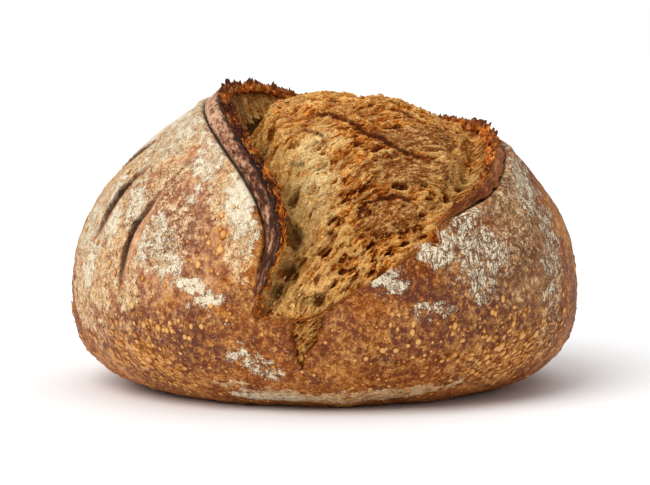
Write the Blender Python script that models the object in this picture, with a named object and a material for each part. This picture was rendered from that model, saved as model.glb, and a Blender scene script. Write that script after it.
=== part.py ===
"""A round sourdough loaf that burst open along its score, as one faceted solid.

The crust is a domed, flat-based round. The score has torn open into a wide mouth on the crown:
its edge curls up into a lip, highest at the ear on the left, and inside the lip a valley runs
round a bulging dome of torn crumb. Three leaf cuts open on the left flank.

Axes: +X to the loaf's right, +Y to its back, +Z up. The origin is at the centre of the base.
Places on the surface are given on a flat map of the loaf, seen from above: the crown is at
(0, 0), the widest level at radius 1 and the middle of the base at radius 2, with -v at the front.
"""

import math

import bmesh
import bpy
import numpy as np
from mathutils import Vector, noise

# Driving sizes, in metres.
WIDTH = 0.240
DEPTH = 0.216
BELLY_LEVEL = 0.045  # the widest level, above the table
CROWN_RISE = 0.094  # from the widest level to the top of the smooth crust
BASE_DROP = 0.052  # how far the belly would reach below the widest level if the table let it
BELLY_POWER = 2.9  # 2 is an ellipse; more fills out the lower edge

# The mouth's edge, from its front point round the left, the back and the right.
# Each point: map u, map v, height of the lip, width of its bare band, depth and width of the valley.
MOUTH = (
    (-0.06, -1.00, 0.0004, 0.0009, 0.0015, 0.008),
    (-0.17, -1.00, 0.0006, 0.0009, 0.0030, 0.010),
    (-0.25, -0.96, 0.0010, 0.0015, 0.0060, 0.013),
    (-0.20, -0.88, 0.0022, 0.0036, 0.0090, 0.015),
    (-0.14, -0.77, 0.0040, 0.0056, 0.0120, 0.017),
    (-0.14, -0.66, 0.0050, 0.0066, 0.0130, 0.018),
    (-0.18, -0.52, 0.0055, 0.0070, 0.0130, 0.018),
    (-0.23, -0.36, 0.0062, 0.0072, 0.0140, 0.018),
    (-0.26, -0.17, 0.0072, 0.0074, 0.0150, 0.020),
    (-0.25, 0.02, 0.0085, 0.0064, 0.0160, 0.022),
    (-0.19, 0.16, 0.0080, 0.0028, 0.0140, 0.018),
    (-0.07, 0.26, 0.0038, 0.0014, 0.0080, 0.014),
    (0.10, 0.31, 0.0028, 0.0014, 0.0050, 0.010),
    (0.28, 0.27, 0.0028, 0.0014, 0.0045, 0.009),
    (0.40, 0.14, 0.0030, 0.0016, 0.0045, 0.009),
    (0.45, -0.04, 0.0032, 0.0034, 0.0060, 0.010),
    (0.46, -0.24, 0.0030, 0.0056, 0.0090, 0.012),
    (0.44, -0.43, 0.0028, 0.0050, 0.0085, 0.012),
    (0.37, -0.57, 0.0020, 0.0036, 0.0050, 0.010),
    (0.33, -0.65, 0.0016, 0.0018, 0.0030, 0.009),
    (0.35, -0.71, 0.0012, 0.0010, 0.0025, 0.008),
    (0.29, -0.74, 0.0014, 0.0009, 0.0025, 0.008),
    (0.19, -0.86, 0.0010, 0.0009, 0.0018, 0.008),
    (0.05, -0.95, 0.0006, 0.0009, 0.0015, 0.008),
)
MOUTH_SPAN_STEPS = 7

LIP_LEAN = 0.25  # how far the lip leans over the valley, as a share of its height
LEAN_REACH = 0.006  # how far from the edge the lean can be felt
FLAP_REACH = 0.026  # how far back from the edge the crust is lifted
CURL_RISE = 0.40  # of the band's middle, as a share of the lip's height
CURL_SPREAD = 0.62  # half width of that rise, as a share of the band's width
CREASE_DEPTH = 0.16  # of the fold behind the band, as a share of the band's width
CREASE_SPREAD = 0.30  # half width of the fold, as a share of the band's width
TORN_WALL = 0.005  # width of the steep wall inside the lip
VALLEY_FLAT = 0.002  # width of the valley's bottom
DOME_SINK = 0.003  # of the dome's rim below the crust's own curve
DOME_SWELL = 0.0015  # how much higher the dome's middle lies than its rim
DOME_SWELL_START = 0.020  # how far into the mouth the dome starts to swell
DOME_SWELL_END = 0.050
FLANK_EDGE = 0.004  # how far across the mouth's edge the flank's own detail fades out

# Soft swellings of the crumb and of the crust: height, width, which pattern.
DOME_LUMPS = (0.0022, 0.022, 3.1)
DOME_KNOBS = (0.0012, 0.009, 5.7)
CRUST_LUMPS = (0.0012, 0.030, 1.3)

# Leaf cuts on the left flank: both ends on the map, bow of the line, depth of the step.
LEAF_CUTS = (
    ((-0.44, -0.15), (-0.60, 0.03), 0.02, 0.0030),
    ((-0.47, -0.29), (-0.75, -0.33), -0.03, 0.0038),
    ((-0.44, -0.44), (-0.75, -0.61), -0.03, 0.0040),
)
CUT_REACH = 0.013  # how far on either side a leaf cut is felt
CUT_WALL = 0.0030  # width of the steep wall of a leaf cut
CUT_LIFT = 0.6  # share of the step by which the side above the cut is raised

# The tear below the mouth's front point: both ends on the map, half width at the top.
FRONT_TEAR = ((-0.06, -0.97), (-0.11, -1.26), 0.0065)
TEAR_DEPTH = 0.0035
TEAR_END = 0.0012  # half width at the lower end

EDGE_PULL = 6.0  # how strongly the nearest stretch of the mouth's edge outweighs the others
EDGE_SOFTNESS = 0.0008

SPHERE_SUBDIVISIONS = 7
MOUTH_CROWDING = 0.30  # how strongly the mesh gathers its vertices at the mouth
TOWARDS_MOUTH = (0.15, -0.45, 0.88)
TRIANGLES = 8000


def smooth_step(low, high, x):
    """0 below low, 1 above high, with a soft start and end."""
    t = np.clip((x - low) / (high - low), 0, 1)
    return t * t * (3 - 2 * t)


def bump(x, half_width):
    """1 at 0, falling softly to 0 at half_width on either side."""
    return 1 - smooth_step(0, half_width, np.abs(x))


def body(u, v):
    """Points and outward normals of the smooth loaf, at places on the map."""
    polar = np.hypot(u, v) * math.pi / 2
    turn = np.arctan2(v, u)
    across, up = np.sin(polar), np.cos(polar)
    belly = (np.abs(across) ** BELLY_POWER + np.abs(up) ** BELLY_POWER) ** (-1 / BELLY_POWER)
    swell = np.where(up < 0, belly, 1)
    rise = np.where(up < 0, BASE_DROP, CROWN_RISE)
    half = np.array([WIDTH / 2, DEPTH / 2])
    unit = np.stack([across * np.cos(turn), across * np.sin(turn), up], axis=-1) * swell[..., None]
    size = np.stack([half[0] + 0 * rise, half[1] + 0 * rise, rise], axis=-1)
    points = unit * size + np.array([0, 0, BELLY_LEVEL])
    normals = unit / size
    return points, normals / np.linalg.norm(normals, axis=-1, keepdims=True)


def closed_curve(rows, steps):
    """A smooth closed curve through rows of numbers, by Catmull-Rom spans."""
    rows = np.array(rows, float)
    before, after, beyond = (np.roll(rows, shift, axis=0) for shift in (1, -1, -2))
    made = []
    for t in np.arange(steps) / steps:
        made.append(
            0.5
            * (
                2 * rows
                + (after - before) * t
                + (2 * before - 5 * rows + 4 * after - beyond) * t**2
                + (3 * rows - before - 3 * after + beyond) * t**3
            )
        )
    return np.stack(made, axis=1).reshape(-1, rows.shape[1])


def inside(u, v, outline):
    """Whether places on the map lie within a closed outline."""
    crossings = np.zeros(len(u), int)
    for (u0, v0), (u1, v1) in zip(outline, np.roll(outline, -1, axis=0)):
        spans = (v0 > v) != (v1 > v)
        if v0 != v1:
            crossings += spans & (u < u0 + (v - v0) * (u1 - u0) / (v1 - v0))
    return crossings % 2 == 1


def to_mouth(u, v, points):
    """Distance inwards past the mouth's edge, a softened distance, the way inwards, and the edge's sizes."""
    edge = closed_curve(MOUTH, MOUTH_SPAN_STEPS)
    line, normals = body(edge[:, 0], edge[:, 1])
    along = np.roll(line, -1, axis=0) - line
    inwards = np.cross(along, normals)
    inwards /= np.linalg.norm(inwards, axis=1, keepdims=True)
    nearest = np.full(len(u), np.inf)
    total = np.zeros(len(u))
    way = np.zeros((len(u), 3))
    sizes = np.zeros((len(u), edge.shape[1] - 2))
    for k in range(len(edge)):
        share = np.clip((points - line[k]) @ along[k] / (along[k] @ along[k]), 0, 1)
        gap = np.linalg.norm(points - line[k] - share[:, None] * along[k], axis=1)
        nearest = np.minimum(nearest, gap)
        weight = (gap + EDGE_SOFTNESS) ** -EDGE_PULL
        total += weight
        way += weight[:, None] * inwards[k]
        sizes += weight[:, None] * edge[k, 2:]
    soft = (total / total.max()) ** (-1 / EDGE_PULL)
    soft = soft * EDGE_SOFTNESS / soft.min() - EDGE_SOFTNESS
    sign = np.where(inside(u, v, edge[:, :2]), 1, -1)
    return nearest * sign, soft, way / total[:, None], sizes / total[:, None]


def to_line(points, start, end, bow=0.0, steps=12):
    """Distance to a bowed line on the map, negative on its left, and the share of the way along."""
    t = np.linspace(0, 1, steps)
    du, dv = end[0] - start[0], end[1] - start[1]
    arch = bow * 4 * t * (1 - t)
    line, normals = body(
        start[0] + du * t - dv * arch / math.hypot(du, dv),
        start[1] + dv * t + du * arch / math.hypot(du, dv),
    )
    best = np.full(len(points), np.inf)
    side = np.zeros(len(points))
    place = np.zeros(len(points))
    for k in range(steps - 1):
        along = line[k + 1] - line[k]
        share = np.clip((points - line[k]) @ along / (along @ along), 0, 1)
        offset = points - line[k] - share[:, None] * along
        gap = np.linalg.norm(offset, axis=1)
        near = gap < best
        best = np.where(near, gap, best)
        side = np.where(near, offset @ np.cross(along, normals[k]), side)
        place = np.where(near, (k + share) / (steps - 1), place)
    return best * np.sign(side), place


def lumps(points, height, width, pattern):
    """Soft swellings of the given height and width."""
    offset = Vector((pattern, 2 * pattern, 3 * pattern))
    return height * np.array([noise.noise(Vector(p) / width + offset) for p in points])


def relief(u, v, points):
    """Height over the smooth loaf, and the push towards the mouth, at each point."""
    into, away, way, sizes = to_mouth(u, v, points)
    lip, band, valley, reach = sizes.T

    flap = lip * np.where(into < 0, np.exp(-away / FLAP_REACH), 1)
    curl = lip * CURL_RISE * bump(into + band / 2, band * CURL_SPREAD)
    crease = CREASE_DEPTH * band * bump(into + band, CREASE_SPREAD * band)
    crust = flap + curl - crease

    dome = -DOME_SINK + DOME_SWELL * smooth_step(DOME_SWELL_START, DOME_SWELL_END, into)
    dome = dome + lumps(points, *DOME_LUMPS) + lumps(points, *DOME_KNOBS)
    rising = smooth_step(TORN_WALL + VALLEY_FLAT, TORN_WALL + reach, into)
    crumb = -valley * (1 - rising) + dome * rising

    height = np.where(into < 0, crust, crust + (crumb - crust) * smooth_step(0, TORN_WALL, into))
    lean = LIP_LEAN * lip * bump(into, LEAN_REACH)

    flank = 1 - smooth_step(-FLANK_EDGE, FLANK_EDGE, into)
    for start, end, bow, step in LEAF_CUTS:
        gap, place = to_line(points, start, end, bow)
        opening = np.sin(place * math.pi) ** 0.6 * bump(gap, CUT_REACH)
        bare = 1 - smooth_step(-CUT_WALL / 2, CUT_WALL / 2, gap)
        height = height + flank * opening * step * (CUT_LIFT - (1 + CUT_LIFT) * bare)

    start, end, half_width = FRONT_TEAR
    gap, place = to_line(points, start, end)
    taper = half_width * (1 - place) ** 0.7 + TEAR_END
    height = height - TEAR_DEPTH * (1 - smooth_step(0.3, 1.1, np.abs(gap) / taper)) * flank

    height = height + flank * lumps(points, *CRUST_LUMPS)
    return height, way * lean[:, None]


def loaf_points(directions):
    """Moves unit vectors out to the loaf's surface."""
    polar = np.arccos(np.clip(directions[:, 2], -1, 1))
    flat = np.hypot(directions[:, 0], directions[:, 1])
    scale = polar / (math.pi / 2) / np.maximum(flat, 1e-9)
    u, v = directions[:, 0] * scale, directions[:, 1] * scale
    points, normals = body(u, v)
    height, push = relief(u, v, points)
    made = points + normals * height[:, None] + push
    made[:, 2] = np.maximum(made[:, 2], 0)
    return made


def make_loaf():
    """The loaf: a fine sphere shaped by the functions above, then thinned to TRIANGLES."""
    sphere = bmesh.new()
    bmesh.ops.create_icosphere(sphere, subdivisions=SPHERE_SUBDIVISIONS, radius=1)
    towards_mouth = Vector(TOWARDS_MOUTH).normalized()
    directions = np.array([(v.co + MOUTH_CROWDING * towards_mouth).normalized() for v in sphere.verts])
    for vertex, place in zip(sphere.verts, loaf_points(directions)):
        vertex.co = place
    mesh = bpy.data.meshes.new("loaf")
    faces = len(sphere.faces)
    sphere.to_mesh(mesh)
    sphere.free()
    mesh.shade_smooth()

    loaf = bpy.data.objects.new("loaf", mesh)
    thin = loaf.modifiers.new("thin", "DECIMATE")
    thin.ratio = TRIANGLES / faces
    loaf.data.materials.append(crust_material())
    return loaf


def crust_material():
    material = bpy.data.materials.new("baked_crust")
    material.use_nodes = True
    shader = material.node_tree.nodes["Principled BSDF"]
    shader.inputs["Base Color"].default_value = (0.46, 0.20, 0.06, 1)
    shader.inputs["Roughness"].default_value = 0.75
    shader.inputs["Metallic"].default_value = 0
    return material


def main():
    for obj in list(bpy.data.objects):
        bpy.data.objects.remove(obj)
    collection = bpy.data.collections.new("sourdough_loaf")
    bpy.context.scene.collection.children.link(collection)
    collection.objects.link(make_loaf())


main()
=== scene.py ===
"""The looks of a round sourdough loaf that burst open along its score.

The crust, the rolled lip round the mouth, the torn crumb inside it, the burnt teeth and crumbs on its
edge, the torn shreds and the blisters are pieces of their own; the flour is in the crust's finish. All
of them take their places from one flat map of the loaf, seen from above: the crown is at (0, 0), the
widest level at radius 1 and the middle of the base at radius 2, with -v at the front.
"""

import math

import bmesh
import bpy
import numpy as np
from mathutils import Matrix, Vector, noise


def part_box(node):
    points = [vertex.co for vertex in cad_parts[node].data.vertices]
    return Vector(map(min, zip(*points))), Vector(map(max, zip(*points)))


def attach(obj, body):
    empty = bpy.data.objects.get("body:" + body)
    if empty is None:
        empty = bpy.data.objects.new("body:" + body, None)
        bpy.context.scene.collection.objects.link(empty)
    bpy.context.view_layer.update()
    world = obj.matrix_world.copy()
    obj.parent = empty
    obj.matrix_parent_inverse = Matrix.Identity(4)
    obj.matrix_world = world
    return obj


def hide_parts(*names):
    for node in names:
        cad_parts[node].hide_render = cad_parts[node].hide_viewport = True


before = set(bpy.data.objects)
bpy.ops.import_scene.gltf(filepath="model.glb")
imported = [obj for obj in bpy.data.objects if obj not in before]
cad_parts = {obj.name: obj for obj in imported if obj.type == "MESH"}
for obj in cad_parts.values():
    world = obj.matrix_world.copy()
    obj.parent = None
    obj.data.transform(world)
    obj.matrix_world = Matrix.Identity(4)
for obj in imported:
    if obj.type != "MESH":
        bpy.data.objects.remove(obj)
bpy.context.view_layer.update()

# ---------------------------------------------------------------- driving sizes, in metres

LOAF_LOW, LOAF_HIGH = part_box("loaf")
LUMP_SHARE = 0.9975  # the smooth loaf's share of the box; lumps fill the rest
WIDTH = (LOAF_HIGH.x - LOAF_LOW.x) * LUMP_SHARE
DEPTH = WIDTH * 0.9
BELLY_LEVEL = WIDTH * 0.1875
CROWN_RISE = WIDTH * 0.3917
BASE_DROP = WIDTH * 0.2167
BELLY_POWER = 2.9  # 2 is an ellipse; more fills out the lower edge

# The mouth's edge, from its front point round the left, the back and the right. Each point: map u,
# map v, height of the lip, width of its band, depth and width of the valley, how burnt, how toothed.
MOUTH = (
    (-0.06, -1.00, 0.0004, 0.0009, 0.0015, 0.008, 0.10, 0.00),
    (-0.17, -1.00, 0.0006, 0.0009, 0.0030, 0.010, 0.15, 0.05),
    (-0.25, -0.96, 0.0010, 0.0015, 0.0060, 0.013, 0.30, 0.10),
    (-0.20, -0.88, 0.0022, 0.0036, 0.0090, 0.015, 0.30, 0.20),
    (-0.14, -0.77, 0.0040, 0.0056, 0.0120, 0.017, 0.60, 0.45),
    (-0.14, -0.66, 0.0050, 0.0066, 0.0130, 0.018, 0.90, 0.80),
    (-0.18, -0.52, 0.0055, 0.0070, 0.0130, 0.018, 1.00, 0.90),
    (-0.23, -0.36, 0.0062, 0.0072, 0.0140, 0.018, 0.95, 0.90),
    (-0.26, -0.17, 0.0072, 0.0074, 0.0150, 0.020, 0.90, 1.00),
    (-0.25, 0.02, 0.0085, 0.0064, 0.0160, 0.022, 0.80, 1.00),
    (-0.19, 0.16, 0.0080, 0.0028, 0.0140, 0.018, 0.60, 1.00),
    (-0.07, 0.26, 0.0038, 0.0014, 0.0080, 0.014, 0.50, 0.80),
    (0.10, 0.31, 0.0028, 0.0014, 0.0050, 0.010, 0.40, 0.60),
    (0.28, 0.27, 0.0028, 0.0014, 0.0045, 0.009, 0.40, 0.60),
    (0.40, 0.14, 0.0030, 0.0016, 0.0045, 0.009, 0.50, 0.80),
    (0.45, -0.04, 0.0032, 0.0034, 0.0060, 0.010, 0.60, 1.00),
    (0.46, -0.24, 0.0030, 0.0056, 0.0090, 0.012, 0.60, 0.70),
    (0.44, -0.43, 0.0028, 0.0050, 0.0085, 0.012, 0.50, 0.35),
    (0.37, -0.57, 0.0020, 0.0036, 0.0050, 0.010, 0.35, 0.20),
    (0.33, -0.65, 0.0016, 0.0018, 0.0030, 0.009, 0.25, 0.10),
    (0.35, -0.71, 0.0012, 0.0010, 0.0025, 0.008, 0.15, 0.05),
    (0.29, -0.74, 0.0014, 0.0009, 0.0025, 0.008, 0.10, 0.00),
    (0.19, -0.86, 0.0010, 0.0009, 0.0018, 0.008, 0.10, 0.00),
    (0.05, -0.95, 0.0006, 0.0009, 0.0015, 0.008, 0.10, 0.00),
)
MOUTH_SPAN_STEPS = 7
LIP_COLUMN, BAND_COLUMN, BURNT_COLUMN, TEETH_COLUMN = 2, 3, 6, 7  # of MOUTH

LIP_LEAN = 0.25  # how far the lip leans over the valley, as a share of its height
FLAP_REACH = 0.026  # how far back from the edge the crust is lifted
TORN_WALL = 0.005  # width of the steep wall inside the lip
DOME_SINK = 0.003  # of the dome's crown below the crust's own curve
MAP_METRES = 0.165  # length over the loaf of one step of the map, near the crown
FLOW_TURN = 36  # degrees, from the loaf's right towards its back, that the crumb was stretched along

# Leaf cuts on the left flank: both ends on the map, bow of the line, depth of the step.
LEAF_CUTS = (
    ((-0.44, -0.15), (-0.60, 0.03), 0.02, 0.0026),
    ((-0.47, -0.29), (-0.75, -0.33), -0.03, 0.0030),
    ((-0.44, -0.44), (-0.75, -0.61), -0.03, 0.0030),
)
CUT_REACH = 0.0085
CUT_WALL = 0.0008
BARE_WIDTH = 0.0070

FRONT_TEAR = ((-0.06, -0.97), (-0.11, -1.26), 0.0080)

# Where flour lies: map place, half width and half height of the patch, lean in degrees, thickness.
FLOUR_PATCHES = (
    ((-0.31, 0.03), 0.010, 0.034, 0, 0.62),
    ((-0.28, -0.36), 0.008, 0.030, 14, 0.62),
    ((-0.225, -0.62), 0.0065, 0.015, 16, 0.95),
    ((-0.39, -0.18), 0.012, 0.030, 16, 0.58),
    ((-0.49, -0.27), 0.010, 0.028, 30, 0.50),
    ((-0.74, -0.26), 0.012, 0.018, 35, 0.62),
    ((-0.83, -0.38), 0.007, 0.007, 30, 0.85),
    ((-0.61, -0.29), 0.006, 0.020, 35, 0.75),
    ((-0.56, -0.48), 0.006, 0.020, 35, 0.70),
    ((-0.51, -0.62), 0.007, 0.018, 30, 0.62),
    ((-0.46, -0.79), 0.009, 0.004, -6, 0.82),
    ((-0.49, -0.72), 0.005, 0.006, 20, 0.70),
    ((-0.40, -0.87), 0.009, 0.0035, 8, 0.74),
    ((-0.31, -1.22), 0.011, 0.006, -25, 0.60),
    ((-0.22, -0.74), 0.004, 0.012, 0, 0.55),
    ((-0.42, -0.05), 0.013, 0.016, 20, 0.85),
    ((-0.37, -0.22), 0.011, 0.018, 20, 0.66),
    ((-0.35, -1.42), 0.018, 0.004, 0, 0.80),
    ((0.33, -0.73), 0.009, 0.008, 0, 0.95),
    ((0.42, -0.62), 0.007, 0.012, -20, 0.66),
    ((0.50, -0.68), 0.012, 0.017, -12, 0.70),
    ((0.57, -0.28), 0.008, 0.018, -35, 0.72),
    ((0.53, -0.14), 0.007, 0.012, -35, 0.60),
    ((0.72, -0.35), 0.009, 0.020, -30, 0.62),
    ((0.22, -0.87), 0.008, 0.005, 0, 0.75),
    ((0.39, -0.91), 0.010, 0.004, 0, 0.58),
    ((0.81, -0.53), 0.007, 0.003, 20, 0.75),
    ((-0.10, 0.80), 0.045, 0.030, 10, 0.75),
    ((0.75, 0.35), 0.030, 0.022, -30, 0.65),
    ((-0.70, 0.45), 0.030, 0.022, 30, 0.60),
)

# Where the crust is paler under a bloom of flour: map place, half width, half height, lean, strength.
BLOOMS = (
    ((-0.44, -0.02), 0.024, 0.022, 20, 1.0),
    ((-0.42, -0.10), 0.020, 0.026, 20, 0.85),
    ((-0.69, -0.56), 0.012, 0.020, 20, 0.80),
    ((-0.80, -0.47), 0.012, 0.018, 20, 0.75),
    ((-0.245, -0.74), 0.007, 0.018, 0, 0.85),
    ((-0.33, -0.10), 0.020, 0.050, 12, 0.85),
    ((-0.60, -0.16), 0.034, 0.036, 35, 0.80),
    ((-0.86, -0.30), 0.016, 0.030, 20, 0.80),
    ((-0.26, -0.48), 0.009, 0.032, 15, 0.80),
    ((0.14, -1.46), 0.050, 0.006, 0, 0.85),
    ((-0.38, -0.24), 0.018, 0.022, 20, 0.95),
    ((-0.43, -0.42), 0.010, 0.012, 20, 0.62),
    ((-0.52, -0.56), 0.022, 0.024, 30, 0.55),
    ((-0.16, -0.88), 0.008, 0.016, 0, 0.45),
    ((0.55, -0.38), 0.014, 0.036, -30, 0.50),
    ((0.74, -0.30), 0.020, 0.026, -30, 0.32),
    ((0.90, -0.50), 0.010, 0.030, -20, 0.45),
    ((0.0, 0.75), 0.070, 0.045, 0, 0.70),
)

# Where the crust under the flour is pinkish rather than brown: map place, half width, half height,
# lean, strength.
BLUSHES = (
    ((-0.40, -0.15), 0.040, 0.045, 20, 1.0),
    ((-0.52, -0.50), 0.045, 0.040, 25, 1.0),
    ((-0.80, -0.50), 0.022, 0.032, 20, 0.9),
    ((-0.30, -0.62), 0.016, 0.040, -10, 0.8),
    ((-0.95, -0.80), 0.010, 0.018, 0, 0.6),
    ((0.62, -0.45), 0.020, 0.030, -30, 0.5),
)

# Where the crust is olive brown under thin flour: map place, half width, half height, lean, strength.
DUN_PLACES = (
    ((0.58, -0.44), 0.020, 0.034, -30, 1.0),
    ((0.66, -0.60), 0.020, 0.020, -20, 0.9),
    ((0.44, -0.68), 0.014, 0.014, -10, 0.7),
    ((0.82, -0.48), 0.010, 0.020, -20, 0.7),
)

# Where the crumb is lighter or darker than elsewhere: map place, half width, half height, lean, amount.
CRUMB_TONES = (
    ((0.09, -0.38), 0.016, 0.010, 10, -0.3),
    ((-0.09, -0.46), 0.010, 0.010, 0, 0.3),
    ((0.31, -0.58), 0.010, 0.010, 0, 1.5),
    ((0.04, -0.76), 0.011, 0.016, 0, 0.8),
    ((0.26, -0.70), 0.010, 0.008, 0, 0.8),
    ((-0.12, -0.91), 0.020, 0.014, 0, 2.6),
    ((-0.06, -0.62), 0.010, 0.026, 0, 0.7),
    ((0.02, -0.72), 0.012, 0.014, 0, 0.8),
    ((0.05, -0.82), 0.012, 0.010, 0, 0.5),
    ((0.02, -0.93), 0.020, 0.009, 0, 1.3),
    ((-0.11, -0.93), 0.010, 0.008, 0, 1.6),
    ((0.31, -0.47), 0.020, 0.018, 0, 1.1),
    ((0.36, -0.56), 0.010, 0.012, 0, 0.7),
    ((0.12, -0.60), 0.014, 0.012, 0, 0.3),
    ((-0.16, -0.42), 0.012, 0.014, 0, 1.2),
    ((0.12, -0.80), 0.030, 0.012, 0, 0.6),
    ((-0.12, 0.02), 0.030, 0.034, 0, 0.7),
    ((-0.17, -0.28), 0.012, 0.020, 0, 0.9),
    ((0.37, -0.36), 0.012, 0.017, 0, 2.6),
    ((0.20, -0.26), 0.020, 0.012, 0, -0.2),
)

# Dark islands of crust on the crumb: map place, half length, half width, lean in degrees.
CRUST_ISLANDS = (
    ((0.24, -0.32), 0.024, 0.010, 6),
    ((0.22, -0.48), 0.023, 0.0085, 0),
    ((0.19, -0.66), 0.014, 0.009, 20),
)
# Shelves where a layer of the dome stands over the next: path on the map, height, how dark the painted shade
# along the step is.
SHELVES = (
    (((-0.04, -0.23), (0.05, -0.31), (0.11, -0.37), (0.18, -0.40), (0.27, -0.42)), 0.0026, 1.0),
    (((-0.06, -0.33), (0.0, -0.40)), 0.0014, 0.7),
    (((-0.10, -0.46), (-0.05, -0.50)), 0.0010, 0.5),
    (((0.09, -0.70), (0.12, -0.63), (0.19, -0.59), (0.26, -0.59)), 0.0012, 0.9),
    (((0.11, -0.38), (0.11, -0.47), (0.09, -0.55)), 0.0012, 0.45),
    (((0.16, -0.16), (0.30, -0.22)), 0.0012, 0.6),
)

# Hollows in the torn valley: map place, half width, half height, lean, depth.
CHAMBERS = (
    ((-0.105, -0.72), 0.0048, 0.0085, 0, 0.0070),
    ((-0.13, -0.845), 0.0050, 0.0055, 0, 0.0050),
    ((-0.18, -0.905), 0.0036, 0.0042, 0, 0.0042),
    ((-0.155, -0.30), 0.0040, 0.0075, -10, 0.0060),
    ((-0.17, -0.16), 0.0060, 0.0060, 0, 0.0070),
    ((-0.10, -0.10), 0.0060, 0.0070, 0, 0.0060),
    ((-0.095, -0.58), 0.0030, 0.0065, -12, 0.0045),
    ((-0.02, -0.95), 0.0030, 0.0036, 0, 0.0032),
    ((0.405, -0.36), 0.0034, 0.0050, 10, 0.0050),
    ((0.375, -0.52), 0.0034, 0.0034, 0, 0.0035),
    ((0.40, -0.20), 0.0034, 0.0050, 10, 0.0045),
)

# Where the crust is darkest: map place, half width, half height, lean, strength.
DARK_CLOUDS = (
    ((-0.58, -1.02), 0.018, 0.014, 0, 1.0),
    ((-0.48, -0.57), 0.012, 0.013, 0, 0.7),
    ((-0.39, -0.66), 0.009, 0.013, 0, 0.7),
    ((0.06, -1.03), 0.010, 0.006, 0, 0.7),
    ((0.52, -0.81), 0.020, 0.010, 0, 1.0),
    ((-0.44, -0.64), 0.013, 0.012, 0, 0.6),
    ((-0.35, -0.55), 0.010, 0.010, 0, 0.4),
    ((-0.22, -1.08), 0.014, 0.008, 0, 0.5),
    ((-0.42, -0.98), 0.008, 0.006, 0, 0.6),
    ((0.58, -0.92), 0.018, 0.008, 0, 0.9),
    ((0.40, -1.04), 0.016, 0.008, 0, 0.9),
    ((0.26, -0.88), 0.020, 0.007, -20, 0.8),
    ((0.45, -0.84), 0.018, 0.008, 0, 0.8),
    ((-0.44, -0.44), 0.010, 0.012, -20, 0.7),
    ((0.62, -0.58), 0.014, 0.014, 0, 0.6),
    ((0.75, -0.72), 0.014, 0.010, 0, 0.6),
    ((-0.30, -0.90), 0.010, 0.006, 0, 0.6),
    ((0.0, -1.15), 0.020, 0.008, 0, 0.4),
    ((-0.75, -0.75), 0.016, 0.012, 20, 0.8),
    ((-0.90, -0.62), 0.012, 0.012, 20, 0.7),
    ((0.5, 0.9), 0.040, 0.020, 0, 0.8),
    ((-0.5, 1.0), 0.030, 0.020, 0, 0.8),
)

# Large holes in the crumb: map place, radius.
OPEN_HOLES = (
    ((0.21, -0.55), 0.0030),
    ((0.28, -0.51), 0.0016),
    ((0.40, -0.43), 0.0030),
    ((0.36, -0.50), 0.0018),
    ((0.06, -0.86), 0.0018),
    ((0.12, -0.92), 0.0016),
    ((0.02, -0.74), 0.0012),
    ((0.20, -0.78), 0.0013),
)

# Where blisters crowd: map place, half width and half height of the swarm, lean, how thickly.
BLISTER_SWARMS = (
    ((-0.81, -0.90), 0.030, 0.024, 0, 1.0),
    ((-0.34, -0.74), 0.012, 0.010, 0, 0.9),
    ((-0.31, -0.67), 0.010, 0.012, -20, 0.9),
    ((0.76, -0.87), 0.032, 0.022, 0, 1.0),
    ((0.35, -1.10), 0.030, 0.012, 0, 0.6),
    ((0.80, 0.60), 0.040, 0.025, 0, 0.9),
    ((-0.80, 0.60), 0.040, 0.025, 0, 0.9),
)

# ---------------------------------------------------------------- how finely things are made

CRUST_CUTS = 43  # of each half side of the cube that the crust starts as
FINER_REACHES = (0.0085, 0.0030)  # how far from the crease and the cuts the crust is cut once more
CRUST_CROWDING = 0.38  # how strongly the crust's vertices gather on the crowded side
CROWDED_SIDE = (0.0, -0.82, 0.57)
CRUMB_U = (-0.36, 0.56)
CRUMB_V = (-1.31, 0.42)
CRUMB_STEP = 0.00054
CRUMB_FRONT_SHARE = 0.35
LIP_STEPS = 26
LIP_SIDES = 22
SHRED_TRIES = 6500
RIM_STEPS = 60
RIM_LAYERS = 8
RIM_SIDES = 6
CLUMP_SEED = 72  # the teeth and the crumbs caught on them gather in the same places
CRUMB_COUNT = 1500
BLISTER_TRIES = 14000
BLISTER_SIDES = 8
# A blister's rings from its foot up: share of its radius, share of its rise, and how far its colour is
# painted as a lit top rather than a shaded foot.
BLISTER_RINGS = ((1.12, -0.30, 0.0), (0.97, 0.28, 0.3), (0.70, 0.76, 0.75), (0.34, 0.97, 0.95))

# ---------------------------------------------------------------- light, floor and camera, in metres

ROOM_LIGHT = 0.50
# Name, the way to the lamp, apparent width in degrees, strength.
LAMPS = (
    ("key_lamp", (-0.75, -0.75, 1.15), 50, 2.1),
    ("top_lamp", (0.15, 0.25, 1.0), 60, 0.7),
)
FLOOR_RADIUS = 5.0
FLOOR_DROP = 0.0002
CAMERA_AIM = Vector((0, 0, 0.0665))
CAMERA_DISTANCE = 1.2
CAMERA_TILT = math.radians(6.0)
CAMERA_LENS = 139.0  # in millimetres, as the sensor's width is
SENSOR_WIDTH = 36


# ---------------------------------------------------------------- shaping helpers


def smooth_step(low, high, x):
    """0 below low, 1 above high, with a soft start and end."""
    t = np.clip((x - low) / (high - low), 0, 1)
    return t * t * (3 - 2 * t)


def bump(x, half_width):
    """1 at 0, falling softly to 0 at half_width on either side."""
    return 1 - smooth_step(0, half_width, np.abs(x))


def dice(cells, seed):
    """A repeatable number from 0 to 1 for each whole-number place."""
    mixed = np.full(cells.shape[:-1], seed * 1274126177, np.int64)
    for axis, factor in zip(range(cells.shape[-1]), (374761393, 668265263, 961748941)):
        mixed = mixed + cells[..., axis] * factor
    mixed = mixed & 0xFFFFFFFF
    mixed = ((mixed ^ (mixed >> 13)) * 1274126177) & 0xFFFFFFFF
    mixed = ((mixed ^ (mixed >> 16)) * 1103515245) & 0xFFFFFFFF
    return (mixed ^ (mixed >> 15)) / 0xFFFFFFFF


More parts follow.
